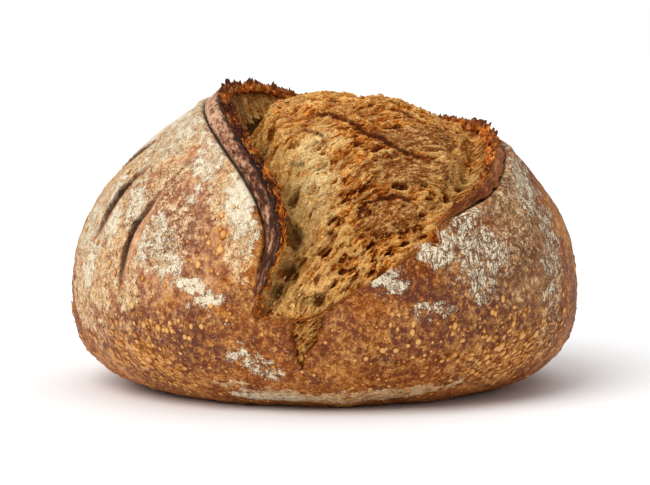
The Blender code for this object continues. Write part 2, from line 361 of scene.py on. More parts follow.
def grain(places, size, seed=0):
    """Soft noise from about -1 to 1, in two or three dimensions, whose lumps have the given size."""
    spots = places / np.array(size) + 64.0
    base = np.floor(spots).astype(np.int64)
    part = spots - base
    ease = part**3 * (part * (part * 6 - 15) + 10)
    total = np.zeros(len(spots))
    for corner in np.ndindex(*[2] * spots.shape[1]):
        corner = np.array(corner)
        weight = np.prod(np.where(corner, ease, 1 - ease), axis=1)
        slopes = np.stack([dice(base + corner, seed * 3 + k) for k in range(spots.shape[1])], axis=1)
        total += weight * np.sum((slopes * 2 - 1) * (part - corner), axis=1)
    return total * 1.6


def roughness(places, *layers):
    """Layers of soft noise added up. Each gives its strength, the size of its lumps and its seed."""
    return sum(strength * grain(places, size, seed) for strength, size, seed in layers)


def crests(places, size, seed=0):
    """Noise with sharp ridges and round hollows, from about -1 to 1."""
    return 1 - 3.2 * np.abs(grain(places, size, seed))


def bubbles(places, size, seed=0, spread=0.85):
    """Scattered centres: distance to the nearest and to the next, the nearest's lot, and the way from it."""
    spots = places / np.array(size) + 64.0
    base = np.floor(spots).astype(np.int64)
    first = np.full(len(spots), 9.0)
    second = first.copy()
    lot = np.zeros(len(spots))
    way = np.zeros(spots.shape)
    for step in np.ndindex(*[3] * spots.shape[1]):
        cell = base + np.array(step) - 1
        shift = np.stack([dice(cell, seed * 5 + k) for k in range(spots.shape[1])], axis=1) - 0.5
        gap = spots - cell - 0.5 - spread * shift
        distance = np.linalg.norm(gap, axis=1)
        near = distance < first
        second = np.where(near, first, np.minimum(second, distance))
        first = np.where(near, distance, first)
        lot = np.where(near, dice(cell, seed * 5 + 3), lot)
        way = np.where(near[:, None], gap, way)
    return first, second, lot, way


def lumps(points, size, seed):
    """The soft swellings that the loaf's solid has too."""
    offset = Vector((seed, 2 * seed, 3 * seed))
    return np.array([noise.noise(Vector(p) / size + offset) for p in points])


# ---------------------------------------------------------------- the loaf's form


def body(u, v):
    """Points and outward normals of the smooth loaf, at places on the map."""
    polar = np.hypot(u, v) * math.pi / 2
    turn = np.arctan2(v, u)
    across, up = np.sin(polar), np.cos(polar)
    belly = (np.abs(across) ** BELLY_POWER + np.abs(up) ** BELLY_POWER) ** (-1 / BELLY_POWER)
    swell = np.where(up < 0, belly, 1)
    rise = np.where(up < 0, BASE_DROP, CROWN_RISE)
    unit = np.stack([across * np.cos(turn), across * np.sin(turn), up], axis=-1) * swell[..., None]
    size = np.stack([WIDTH / 2 + 0 * rise, DEPTH / 2 + 0 * rise, rise], axis=-1)
    points = unit * size + np.array([0, 0, BELLY_LEVEL])
    normals = unit / size
    return points, normals / np.linalg.norm(normals, axis=-1, keepdims=True)


def closed_curve(rows, steps):
    """A smooth closed curve through rows of numbers, by Catmull-Rom spans."""
    rows = np.array(rows, float)
    before, after, beyond = (np.roll(rows, shift, axis=0) for shift in (1, -1, -2))
    made = []
    for t in np.arange(steps) / steps:
        made.append(
            0.5
            * (
                2 * rows
                + (after - before) * t
                + (2 * before - 5 * rows + 4 * after - beyond) * t**2
                + (3 * rows - before - 3 * after + beyond) * t**3
            )
        )
    return np.stack(made, axis=1).reshape(-1, rows.shape[1])


def inside(u, v, outline):
    """Whether places on the map lie within a closed outline."""
    crossings = np.zeros(len(u), int)
    for (u0, v0), (u1, v1) in zip(outline, np.roll(outline, -1, axis=0)):
        spans = (v0 > v) != (v1 > v)
        if v0 != v1:
            crossings += spans & (u < u0 + (v - v0) * (u1 - u0) / (v1 - v0))
    return crossings % 2 == 1


def to_mouth(u, v, points):
    """Distance inwards past the mouth's edge, a softened distance, the way inwards, and the edge's sizes."""
    edge = closed_curve(MOUTH, MOUTH_SPAN_STEPS)
    line, normals = body(edge[:, 0], edge[:, 1])
    along = np.roll(line, -1, axis=0) - line
    inwards = np.cross(along, normals)
    inwards /= np.linalg.norm(inwards, axis=1, keepdims=True)
    nearest = np.full(len(u), np.inf)
    total = np.zeros(len(u))
    way = np.zeros((len(u), 3))
    sizes = np.zeros((len(u), edge.shape[1] - 2))
    for k in range(len(edge)):
        offset = points - line[k]
        share = np.clip(offset @ along[k] / (along[k] @ along[k]), 0, 1)
        gap = np.linalg.norm(offset - share[:, None] * along[k], axis=1)
        nearest = np.minimum(nearest, gap)
        weight = (gap + 0.0008) ** -6.0
        total += weight
        way += weight[:, None] * inwards[k]
        sizes += weight[:, None] * edge[k, 2:]
    soft = (total / total.max()) ** (-1 / 6.0)
    soft = soft * 0.0008 / soft.min() - 0.0008
    sign = np.where(inside(u, v, edge[:, :2]), 1, -1)
    return nearest * sign, soft, way / total[:, None], sizes / total[:, None]


def to_line(points, start, end, bow=0.0, steps=12):
    """Distance to a bowed line on the map, negative on its left, and the share of the way along."""
    t = np.linspace(0, 1, steps)
    du, dv = end[0] - start[0], end[1] - start[1]
    arch = bow * 4 * t * (1 - t)
    line, normals = body(
        start[0] + du * t - dv * arch / math.hypot(du, dv),
        start[1] + dv * t + du * arch / math.hypot(du, dv),
    )
    best = np.full(len(points), np.inf)
    side = np.zeros(len(points))
    place = np.zeros(len(points))
    for k in range(steps - 1):
        along = line[k + 1] - line[k]
        offset = points - line[k]
        share = np.clip(offset @ along / (along @ along), 0, 1)
        offset = offset - share[:, None] * along
        gap = np.linalg.norm(offset, axis=1)
        near = gap < best
        best = np.where(near, gap, best)
        side = np.where(near, offset @ np.cross(along, normals[k]), side)
        place = np.where(near, (k + share) / (steps - 1), place)
    return best * np.sign(side), place


def on_patch(points, place, half_width, half_height, lean):
    """1 in the middle of a leaning oval patch, 0 at its rim and below 0 beyond."""
    centre, normal = body(np.array([place[0]]), np.array([place[1]]))
    centre, normal = centre[0], normal[0]
    right = np.cross((0, 0, 1), normal)
    right /= np.linalg.norm(right)
    up = np.cross(normal, right)
    turn = math.radians(lean)
    offset = points - centre
    across = offset @ (right * math.cos(turn) + up * math.sin(turn))
    along = offset @ (up * math.cos(turn) - right * math.sin(turn))
    depth = offset @ normal
    far = np.sqrt((across / half_width) ** 2 + (along / half_height) ** 2 + (depth / 0.03) ** 2)
    return 1 - far


def to_path(points, path):
    """Distance to a path of straight spans on the map, negative on its left, and the share of the way."""
    best = np.full(len(points), np.inf)
    place = np.zeros(len(points))
    for k, (start, end) in enumerate(zip(path, path[1:])):
        gap, share = to_line(points, start, end, steps=4)
        near = np.abs(gap) < np.abs(best)
        best = np.where(near, gap, best)
        place = np.where(near, (k + share) / (len(path) - 1), place)
    return best, place


def leaf_cuts(points):
    """Height that the leaf cuts add, how bare the crust is, and where the crevice at each step's foot gets
    painted shade.
    """
    height = np.zeros(len(points))
    bare = np.zeros(len(points))
    crevice_shade = np.zeros(len(points))
    for start, end, bow, step in LEAF_CUTS:
        gap, place = to_line(points, start, end, bow)
        gap = roughness(points, (0.0012, 0.009, 61), (0.0005, 0.003, 62)) - gap
        opening = np.sin(place * math.pi) ** 0.6 * bump(gap, CUT_REACH)
        low_side = smooth_step(-CUT_WALL / 2, CUT_WALL / 2, gap)
        strip = BARE_WIDTH * np.sin(place * math.pi) ** 0.6
        height += opening * step * (0.12 - 0.85 * low_side)
        bare = np.maximum(bare, low_side * smooth_step(0.0008, -0.0008, gap - strip))
        # painted shade: the crevice at the foot of each step, to be coloured near black
        deepest = smooth_step(-0.0007, -0.0001, gap) * (1 - smooth_step(0.0004, 0.0016, gap))
        deepest = np.sin(place * math.pi) ** 0.7 * deepest
        height -= 0.0005 * deepest
        crevice_shade = np.maximum(crevice_shade, deepest)
    return height, bare, crevice_shade


def front_tear(points):
    """How far a point is within the tear below the mouth."""
    start, end, half_width = FRONT_TEAR
    gap, place = to_line(points, start, end)
    gap = gap + roughness(points, (0.0020, 0.0060, 63), (0.0010, 0.0022, 64))
    taper = half_width * (1 - place) ** 0.7 + 0.0010
    return 1 - smooth_step(0.5, 1.1, np.abs(gap) / taper)


def wash_of(points, patches, grow, wobble):
    """The strongest of the patches that a point lies in, with ragged rims."""
    thick = np.zeros(len(points))
    for place, half_width, half_height, lean, amount in patches:
        spot = on_patch(points, place, half_width * grow, half_height * grow, lean) + wobble
        thick = np.maximum(thick, amount * smooth_step(-0.30, 0.45, spot))
    return thick


def valley_floor(into, sizes, points):
    """Height of the torn crumb without its fine detail."""
    valley, reach = sizes[:, 2], sizes[:, 3]
    dome = -DOME_SINK + 0.0015 * smooth_step(0.02, 0.05, into)
    dome = dome + 0.0022 * lumps(points, 0.022, 3.1) + 0.0012 * lumps(points, 0.009, 5.7)
    rising = smooth_step(TORN_WALL + 0.002, TORN_WALL + reach, into)
    return -valley * (1 - rising) + dome * rising


def lean_of(into, sizes, way):
    """How far the lip and what hangs on it is pushed over the valley."""
    return way * (LIP_LEAN * sizes[:, 0] * bump(into + 0.001, 0.006))[:, None]


def crust_places(u, v):
    """Points of the crust, the map's distance into the mouth, and its marks."""
    points, normals = body(u, v)
    into, away, way, sizes = to_mouth(u, v, points)
    lip, band, burnt = sizes[:, 0], sizes[:, 1], sizes[:, 4]
    flap = lip * np.where(into < 0, np.exp(-away / FLAP_REACH), 1)
    sunk = valley_floor(into, sizes, points) - 0.005
    height = np.where(into < 0, flap, flap + (sunk - flap) * smooth_step(0, 0.0028, into))

    flank = 1 - smooth_step(-0.004, 0.004, into)
    broad = smooth_step(0.0020, 0.0050, band)
    brow = 0.0012 * bump(into + band + 0.0036, 0.0036) - 0.0026 * smooth_step(-0.0016, 0.0002, into + band)
    cut_height, bare, crevice_shade = leaf_cuts(points)
    tear = front_tear(points)
    height = height + flank * (broad * brow + cut_height - 0.005 * tear)
    height = height + flank * 0.0012 * lumps(points, 0.030, 1.3)
    wobble = roughness(points, (0.30, 0.012, 5), (0.30, 0.005, 6), (0.16, 0.0022, 7))
    flour = wash_of(points, FLOUR_PATCHES, 1.25, wobble) * (1 - 0.8 * bare)
    bloom = wash_of(points, BLOOMS, 1.15, wobble)
    swarm = wash_of(points, BLISTER_SWARMS, 1.2, wobble)
    cloudy = wash_of(points, DARK_CLOUDS, 1.2, wobble)
    blush = wash_of(points, BLUSHES, 1.2, wobble)
    dun = wash_of(points, DUN_PLACES, 1.2, wobble)
    to_pimple, _, lot, _ = bubbles(points, 0.0036, 8)
    dome = np.clip(1 - (to_pimple / (0.22 + 0.30 * lot)) ** 2, 0, 1) ** 0.6 * (lot < 0.35 + 0.5 * swarm)
    peel = roughness(points, (0.00045, 0.0075, 1), (0.00030, 0.0036, 2))
    peel = peel + 0.0007 * dome * (0.4 + 0.6 * swarm)
    height = height + flank * (peel * (1 - 0.6 * flour) + 0.0003 * smooth_step(0.3, 0.6, flour))

    made = points + normals * height[:, None] + lean_of(into, sizes, way)
    made[:, 2] = np.maximum(made[:, 2], 0)
    # painted shade: the crease where the flap meets the lip band, to be coloured near black
    crease_shade = broad * bump(into + 1.02 * band, 0.0013)
    marks = {
        "flour": flour,
        "bloom": bloom * (1 - 0.8 * bare),
        "bare": bare,
        "swarm": swarm,
        "cloudy": cloudy,
        "blush": blush,
        "dun": dun,
        "cracked": smooth_step(0.10, 0.40, u),
        "dome": dome * (1 - flour),
        "crevice_shade": np.maximum(crevice_shade, crease_shade),
        "burnt": broad * burnt * smooth_step(-0.001, 0.001, into + band) * 0.6,
        "torn": smooth_step(0.0, 0.0015, into) + tear,
        # painted shade: the crust within 16 mm of the floor
        "near_floor_shade": 1 - smooth_step(0.002, 0.016, made[:, 2]),
    }
    return made, normals, into, marks


def flow_of(u, v):
    """Crumb coordinates in metres: along the stretch of the dough, and across it."""
    right, back = u * MAP_METRES, v * MAP_METRES
    turn = math.radians(FLOW_TURN)
    along = right * math.cos(turn) + back * math.sin(turn)
    across = back * math.cos(turn) - right * math.sin(turn)
    flow = np.stack([along, across + 1.2 * along * along], axis=1)
    flow[:, 1] += roughness(flow, (0.0030, 0.020, 11), (0.0008, 0.006, 14))
    return flow


def crust_islands(points, flow):
    """Where the crumb is crusted over, 0 to 1, with ragged rims."""
    island = np.full(len(points), -1.0)
    ragged = roughness(flow, (0.34, (0.012, 0.005), 12), (0.26, (0.004, 0.0018), 13))
    for place, half_length, half_width, lean in CRUST_ISLANDS:
        island = np.maximum(island, on_patch(points, place, half_length, half_width, lean) + ragged)
    return smooth_step(-0.08, 0.14, island)


def foam(flow, size, seed, share):
    """Torn bubbles: their walls stand as thin ridges, and a share of them is open and deep."""
    first, second, lot, _ = bubbles(flow, size, seed)
    hollow = smooth_step(0.02, 0.34, second - first)
    opened = np.where((lot * 17.3) % 1 < share, 0.45 + 0.55 * lot, 0.16 * lot)
    return hollow * opened, bump(second - first, 0.16)


def flakes(flow, size, seed):
    """Torn flakes: each tilts its own way and ends in a step. Their height from -1 to 1, and their edges."""
    first, second, lot, way = bubbles(flow, size, seed)
    tilt = way[:, 1] * (1.7 * lot - 0.25) + way[:, 0] * (((lot * 7.31) % 1) - 0.5)
    return tilt + 0.5 * ((lot * 3.77) % 1 - 0.5), bump(second - first, 0.14)


def crumb_relief(points, flow, island):
    """The torn crumb's fine height in metres, how deep its pores are, and where thin walls stand."""
    honey = smooth_step(-0.5, 0.4, on_patch(points, (0.12, -0.84), 0.040, 0.026, 0))
    along = flow * np.array([0.60, 1.0])
    large, large_wall = foam(along, (0.0040, 0.0030), 31, 0.10 + 0.22 * honey)
    small, small_wall = foam(along, (0.0021, 0.0016), 32, 0.14 + 0.26 * honey)
    big_flakes, big_edges = flakes(flow, (0.0100, 0.0042), 23)
    little_flakes, little_edges = flakes(flow, (0.0042, 0.0019), 25)
    relief = 0.0010 * big_flakes + 0.00085 * little_flakes
    relief = relief + 0.0006 * crests(flow, (0.0080, 0.0030), 21) + 0.00045 * grain(points, 0.0020, 24)
    relief = relief * (1 - 0.35 * honey) * (1 - 0.60 * island)
    open_share = 1 - 0.75 * island
    relief = relief - (0.0022 * large + 0.0010 * small) * open_share
    pores = np.maximum(large, 0.7 * small) * open_share
    edges = np.maximum(big_edges * (big_flakes > 0), 0.7 * little_edges * (little_flakes > 0))
    walls = np.maximum(np.maximum(large_wall * (large > 0.02), 0.6 * small_wall), 0.8 * edges)
    cracks = np.maximum(big_edges * (big_flakes < -0.1), 0.7 * little_edges * (little_flakes < -0.1))
    return relief, np.maximum(pores, 0.75 * cracks), walls


def crumb_places(u, v):
    """Points of the torn crumb, its normals, how far into the mouth they are, its marks and its flow."""
    points, normals = body(u, v)
    into, _, way, sizes = to_mouth(u, v, points)
    lip, _, valley, reach, burnt, _ = sizes.T
    floor = valley_floor(into, sizes, points)
    top = lip - 0.0006
    wall = smooth_step(0, TORN_WALL, into)
    height = np.where(into < 0, top - 0.005 * smooth_step(0, 0.005, -into), top + (floor - top) * wall)
    tear = front_tear(points)
    height = np.where(into < 0, np.maximum(height, lip - 0.0050 + 0.0034 * tear), height)

    flow = flow_of(u, v)
    island = crust_islands(points, flow)
    relief, pores, walls = crumb_relief(points, flow, island)
    for place, radius in OPEN_HOLES:
        spot = on_patch(points, place, radius * 1.4, radius, 8) + 0.18 * grain(points, 0.0025, 33)
        hollow = np.sqrt(np.clip(1 - (1 - spot) ** 2, 0, 1)) * (spot > 0)
        relief = relief - 1.5 * radius * hollow + 0.0005 * bump(spot + 0.12, 0.16)
        pores = np.maximum(pores, hollow)
        walls = np.maximum(walls, bump(spot + 0.10, 0.14))
    shown = relief
    crack_shade = np.zeros(len(u))
    for path, rise, dark in SHELVES:
        gap, place = to_path(points, path)
        gap = gap + roughness(points, (0.0012, 0.006, 34), (0.0006, 0.0022, 35))
        ends = smooth_step(0, 0.10, place) * smooth_step(1, 0.90, place)
        shelf = smooth_step(0.0004, -0.0004, gap) * bump(np.minimum(gap, 0), 0.012)
        relief = relief + 0.75 * rise * ends * shelf
        relief = relief * (1 - 0.7 * ends * bump(gap - 0.0015, 0.0030))
        thin = 0.0013 * (1 + 0.6 * grain(points, 0.0045, 37))
        # painted shade along the step of each shelf
        crack_shade = np.maximum(crack_shade, np.minimum(1.25 * dark * ends * bump(gap, thin), 1))

    deep = smooth_step(0.003, 0.013, valley) * (1 - smooth_step(TORN_WALL, TORN_WALL + reach, into))
    chambers = np.stack([u, v], axis=1) * MAP_METRES + 0.0016 * grain(points, 0.006, 44)[:, None]
    first, second, lot, _ = bubbles(chambers, (0.0085, 0.0120), 45)
    chamber = smooth_step(0.04, 0.42, second - first) * (0.35 + 0.65 * lot)
    inner = smooth_step(0.0042, 0.0075, into) * deep * (1 - 0.6 * smooth_step(0.0, 0.04, points[:, 0]))
    relief = relief - 0.0045 * inner * chamber
    # where hollow is high, the finish paints shade into the valley's chambers
    hollow = 0.8 * inner * chamber
    for place, half_width, half_height, lean, depth in CHAMBERS:
        spot = on_patch(points, place, half_width, half_height, lean) + 0.22 * grain(points, 0.004, 36)
        dip = np.sqrt(np.clip(1 - (1 - spot) ** 2, 0, 1)) * (spot > 0)
        relief = relief - depth * dip + 0.0006 * bump(spot + 0.10, 0.16)
        hollow = np.maximum(hollow, dip)
        walls = np.maximum(walls, bump(spot + 0.10, 0.16))
    open_crumb = smooth_step(0.0, 0.005, into) + 0.6 * tear
    made = points + normals * (height + relief * open_crumb * (1 - 0.3 * deep))[:, None]
    steep = smooth_step(0.0004, 0.0020, into) * (1 - smooth_step(TORN_WALL * 0.8, TORN_WALL * 1.4, into))
    steep = steep * smooth_step(0.004, 0.012, valley)
    bulge = 0.0013 + roughness(made, (0.0017, (0.007, 0.007, 0.010), 46), (0.0009, 0.0032, 47))
    made = made + lean_of(into, sizes, way) + way * (steep * bulge)[:, None]
    made[:, 2] = np.maximum(made[:, 2], 0.0005)

    glow = np.zeros(len(u))
    wobble = 0.3 * grain(points, 0.010, 48)
    for place, half_width, half_height, lean, amount in CRUMB_TONES:
        spot = on_patch(points, place, half_width * 1.25, half_height * 1.25, lean) + wobble
        glow += amount * smooth_step(-0.2, 0.7, spot)
    pale = on_patch(points, (-0.065, -0.57), 0.019, 0.050, -8) + 0.30 * grain(points, 0.012, 41)
    ragged = into + roughness(points, (0.0016, 0.0032, 42), (0.0008, 0.0014, 43))
    marks = {
        # the finish paints the crumb paler where this is high and darker where it is low: painted highlight
        # and shade
        "relief": np.clip(0.5 + shown / 0.0036, 0, 1),
        "glow": glow,
        "island": island,
        "pores": np.clip(pores, 0, 1),
        "walls": np.clip(walls, 0, 1),
        "pale": smooth_step(-0.2, 0.7, pale),
        "deep": deep,
        "hollow": hollow,
        "crack_shade": crack_shade,
        "burnt": np.clip(burnt * (1 - smooth_step(0.0010, 0.0045, ragged)), 0, 1),
    }
    flow = np.column_stack([flow, height + relief - 0.5 * into * steep])
    return made, normals, into, marks, flow


# ---------------------------------------------------------------- meshes


def clear_selection():
    bpy.ops.object.select_all(action="DESELECT")


def set_marks(mesh, marks):
    """Writes each mark as a number, or as a place, at every vertex, for the materials to read."""
    for name, values in marks.items():
        if values.ndim == 1:
            mesh.attributes.new(name, "FLOAT", "POINT").data.foreach_set("value", values.astype(np.float32))
        else:
            kept = np.zeros((len(values), 3), np.float32)
            kept[:, : values.shape[1]] = values
            mesh.attributes.new(name, "FLOAT_VECTOR", "POINT").data.foreach_set("vector", kept.ravel())


def move_vertices(mesh, places):
    mesh.vertices.foreach_set("co", places.astype(np.float32).ravel())
    mesh.update()


def vertices_of(mesh):
    places = np.empty(len(mesh.vertices) * 3, np.float32)
    mesh.vertices.foreach_get("co", places)
    return places.reshape(-1, 3).astype(float)


def mesh_piece(name, points, faces, material, marks):
    """A piece from its points, its faces and its marks."""
    mesh = bpy.data.meshes.new(name)
    mesh.from_pydata(points.tolist(), [], faces)
    mesh.shade_smooth()
    mesh.materials.append(material)
    set_marks(mesh, marks)
    piece = bpy.data.objects.new(name, mesh)
    bpy.context.scene.collection.objects.link(piece)
    return piece


def cut_finer(crust, reach):
    """Cuts the crust's faces once more where they lie near the mouth's edge, the cuts or the tear."""
    u, v = map_of(vertices_of(crust.data))
    points, _ = body(u, v)
    into = to_mouth(u, v, points)[0]
    band = closed_curve(MOUTH, MOUTH_SPAN_STEPS)[:, BAND_COLUMN].max()
    chosen = (np.abs(into + band * 0.9) < reach) & (into < 0.003)
    for start, end, bow, _ in LEAF_CUTS:
        chosen |= np.abs(to_line(points, start, end, bow)[0]) < reach * 0.75
    chosen |= np.abs(to_line(points, FRONT_TEAR[0], FRONT_TEAR[1])[0]) < reach * 0.8
    for parts in (crust.data.edges, crust.data.polygons):
        picked = [all(chosen[k] for k in part.vertices) for part in parts]
        parts.foreach_set("select", picked)
    crust.data.vertices.foreach_set("select", chosen)
    bpy.ops.object.mode_set(mode="EDIT")
    bpy.ops.mesh.subdivide(number_cuts=1)
    bpy.ops.object.mode_set(mode="OBJECT")


def map_of(directions):
    """The map places that lie in the given directions from the loaf's middle."""
    directions = directions / np.linalg.norm(directions, axis=1, keepdims=True)
    flat = np.hypot(directions[:, 0], directions[:, 1])
    scale = np.arccos(np.clip(directions[:, 2], -1, 1)) / (math.pi / 2) / np.maximum(flat, 1e-9)
    return directions[:, 0] * scale, directions[:, 1] * scale


def make_crust(material):
    """The whole crust: a cube cut fine and rounded out to the loaf's form."""
    clear_selection()
    bpy.ops.mesh.primitive_cube_add(size=2)
    crust = bpy.context.object
    crust.name = "loaf_crust"
    bpy.ops.object.mode_set(mode="EDIT")
    bpy.ops.mesh.subdivide(number_cuts=1)
    bpy.ops.mesh.subdivide(number_cuts=CRUST_CUTS)
    bpy.ops.object.mode_set(mode="OBJECT")
    directions = np.tan(vertices_of(crust.data) * math.pi / 4)
    directions /= np.linalg.norm(directions, axis=1, keepdims=True)
    directions = directions + CRUST_CROWDING * np.array(CROWDED_SIDE)
    move_vertices(crust.data, directions)
    for reach in FINER_REACHES:
        cut_finer(crust, reach)
    made, _, _, marks = crust_places(*map_of(vertices_of(crust.data)))
    move_vertices(crust.data, made)
    set_marks(crust.data, marks)
    crust.data.shade_smooth()
    crust.data.materials.append(material)
    return crust


def crumb_map(across, back):
    """Map places for shares from 0 to 1 of the crumb's sheet, closer together at the front."""
    u = CRUMB_U[0] + across * (CRUMB_U[1] - CRUMB_U[0])
    v = CRUMB_V[0] + (back + CRUMB_FRONT_SHARE * (back * back - back)) * (CRUMB_V[1] - CRUMB_V[0])
    return u, v


def make_crumb(material):
    """The torn crumb: a fine sheet over the mouth, tucked under the crust all round and closed below."""
    clear_selection()
    columns = int((CRUMB_U[1] - CRUMB_U[0]) * MAP_METRES / CRUMB_STEP)
    rows = int((CRUMB_V[1] - CRUMB_V[0]) * MAP_METRES / CRUMB_STEP)
    bpy.ops.mesh.primitive_grid_add(x_subdivisions=columns, y_subdivisions=rows, size=1)
    crumb = bpy.context.object
    crumb.name = "torn_crumb"
    places = vertices_of(crumb.data)
    u, v = crumb_map(places[:, 0] + 0.5, places[:, 1] + 0.5)
    points, _ = body(u, v)
    into = to_mouth(u, v, points)[0]
    keep = (into > -0.005) | (front_tear(points) > 0.02)
    move_vertices(crumb.data, np.stack([u, v, 0 * u], axis=1))

    sheet = bmesh.new()
    sheet.from_mesh(crumb.data)
    far = [vertex for vertex, kept in zip(sheet.verts, keep) if not kept]
    bmesh.ops.delete(sheet, geom=far, context="VERTS")
    sheet.to_mesh(crumb.data)
    sheet.free()
    places = vertices_of(crumb.data)
    made, _, _, marks, flow = crumb_places(places[:, 0], places[:, 1])
    move_vertices(crumb.data, made)
    set_marks(crumb.data, {**marks, "flow": flow})

    bpy.ops.object.mode_set(mode="EDIT")
    bpy.ops.mesh.select_mode(type="EDGE")
    bpy.ops.mesh.select_all(action="DESELECT")
    bpy.ops.mesh.select_non_manifold()
    bpy.ops.mesh.extrude_region_move(TRANSFORM_OT_translate={"value": (0, 0.004, -0.012)})
    bpy.ops.mesh.merge(type="CENTER")
    bpy.ops.object.mode_set(mode="OBJECT")
    crumb.data.shade_smooth()
    crumb.data.materials.append(material)
    return crumb


def mouth_edge(steps):
    """The mouth's edge: its rows, points, outward normals, way inwards and way along."""
    rows = closed_curve(MOUTH, steps)
    line, normals = body(rows[:, 0], rows[:, 1])
    along = np.roll(line, -1, axis=0) - np.roll(line, 1, axis=0)
    along /= np.linalg.norm(along, axis=1, keepdims=True)
    inwards = np.cross(along, normals)
    return rows, line, normals, inwards / np.linalg.norm(inwards, axis=1, keepdims=True), along


def tube_faces(rings, sides):
    """The faces of a closed tube of rings that all have the same number of sides."""
    near = np.arange(rings)[:, None] * sides + np.arange(sides)
    far = np.roll(near, -1, axis=0)
    corners = [near, np.roll(near, -1, axis=1), np.roll(far, -1, axis=1), far]
    return np.stack(corners, axis=-1).reshape(-1, 4)


def make_lip(material):
    """The rolled lip: a flattened roll swept round the mouth's edge."""
    rows, line, normals, inwards, _ = mouth_edge(LIP_STEPS)
    lip, band, burnt = rows[:, LIP_COLUMN], rows[:, BAND_COLUMN], rows[:, BURNT_COLUMN]
    angle = np.arange(LIP_SIDES) / LIP_SIDES * 2 * math.pi
    size = smooth_step(0.001, 0.005, band)
    foot = lip * np.exp(-band / FLAP_REACH) - 0.0008 * size
    outer = line - inwards * band[:, None] + normals * foot[:, None]
    inner = line + inwards * (LIP_LEAN * lip)[:, None] + normals * lip[:, None]
    inner_wave = size * roughness(line, (0.0010, 0.008, 55), (0.0006, 0.003, 56))
    inner = inner + inwards * inner_wave[:, None]
    right = smooth_step(0.10, 0.35, rows[:, 0])
    outer_wave = size * right * roughness(line, (0.0012, 0.007, 58), (0.0006, 0.0026, 59))
    outer = outer - inwards * outer_wave[:, None]
    sunk = (1 - size) * (0.0003 + roughness(line, (0.0010, 0.006, 60), (0.0005, 0.0022, 66)))
    outer, inner = outer - normals * sunk[:, None], inner - normals * sunk[:, None]
    centre, across = (outer + inner) / 2, (inner - outer) / 2
    length = np.cumsum(np.linalg.norm(line - np.roll(line, 1, axis=0), axis=1))
    turned = np.sign(np.cos(angle)) * np.abs(np.cos(angle)) ** 0.85
    upward = (band * 0.15 + 0.0002)[:, None] * np.sin(angle) * (1 + 0.40 * np.cos(angle))
    points = centre[:, None] + across[:, None] * turned[None, :, None] + normals[:, None] * upward[..., None]
    out = inwards[:, None] * np.cos(angle)[None, :, None] + normals[:, None] * np.sin(angle)[None, :, None]
    points, out = points.reshape(-1, 3), out.reshape(-1, 3)
    inward = np.tile(np.cos(angle), len(rows))
    rough = roughness(points, (0.00045, 0.0036, 53), (0.00030, 0.0014, 54))
    rough = rough + 0.0010 * smooth_step(0.4, 1.0, inward) * grain(points, 0.0021, 57)
    points = points + out * (rough * np.repeat(size, LIP_SIDES))[:, None]
    upright = np.tile(np.sin(angle), len(rows))
    sweep = np.stack([np.repeat(length, LIP_SIDES), 0.004 * inward, 0.004 * upright], axis=1)
    marks = {
        "inner": inward * 0.5 + 0.5,
        "burnt": np.repeat(burnt, LIP_SIDES),
        "thin": 1 - np.repeat(smooth_step(0.0012, 0.0040, rows[:, BAND_COLUMN]), LIP_SIDES),
        "low": np.repeat(smooth_step(-0.20, -0.60, rows[:, 1]), LIP_SIDES),
        "right": np.repeat(right, LIP_SIDES),
        "sweep": sweep,
    }
    return mesh_piece("rolled_lip", points, tube_faces(len(rows), LIP_SIDES).tolist(), material, marks)


def make_slivers(name, roots, ways, sides, lengths, widths, curls, marks, material, thick=0.34):
    """Many flat tapering slivers in one piece, each four-sided, pointed and closed."""
    stations = np.array([0.0, 0.3, 0.62, 0.86])
    shape = np.array([1.0, 0.92, 0.62, 0.34])
    lifts = np.cross(ways, sides)
    count = len(roots)
    rings = []
    for share, wide in zip(stations, shape):
        middle = roots + ways * (lengths * share)[:, None] + curls * (lengths * share**2)[:, None]
        for side, lift in ((1, 0), (0, 1), (-1, 0), (0, -1)):
            half = widths * wide / 2
            rings.append(middle + sides * (half * side)[:, None] + lifts * (half * lift * thick)[:, None])
    rings.append(roots + ways * lengths[:, None] + curls * lengths[:, None])
    points = np.stack(rings, axis=1)
    faces = [(3, 2, 1, 0)]
    for ring in range(3):
        for k in range(4):
            near, following = ring * 4 + k, ring * 4 + (k + 1) % 4
            faces.append((near, following, following + 4, near + 4))
    caps = [(12 + k, 12 + (k + 1) % 4, 16) for k in range(4)]
    each = points.shape[1]
    starts = np.arange(count)[:, None, None] * each
    quads = (starts + np.array(faces)).reshape(-1, 4).tolist()
    ends = (starts + np.array(caps)).reshape(-1, 3).tolist()
    tip = np.tile(np.append(np.repeat(stations, 4), 1.0), count)
    spread = {key: np.repeat(values, each) for key, values in marks.items()}
    return mesh_piece(name, points.reshape(-1, 3), quads + ends, material, {**spread, "tip": tip})


def flow_way(u, v, normals):
    """The way over the surface, in space, that the crumb was stretched along."""
    step, turn = 0.01, math.radians(FLOW_TURN)
    way = body(u + step * math.cos(turn), v + step * math.sin(turn))[0] - body(u, v)[0]
    way = way - normals * np.sum(way * normals, axis=1, keepdims=True)
    return way / np.linalg.norm(way, axis=1, keepdims=True)


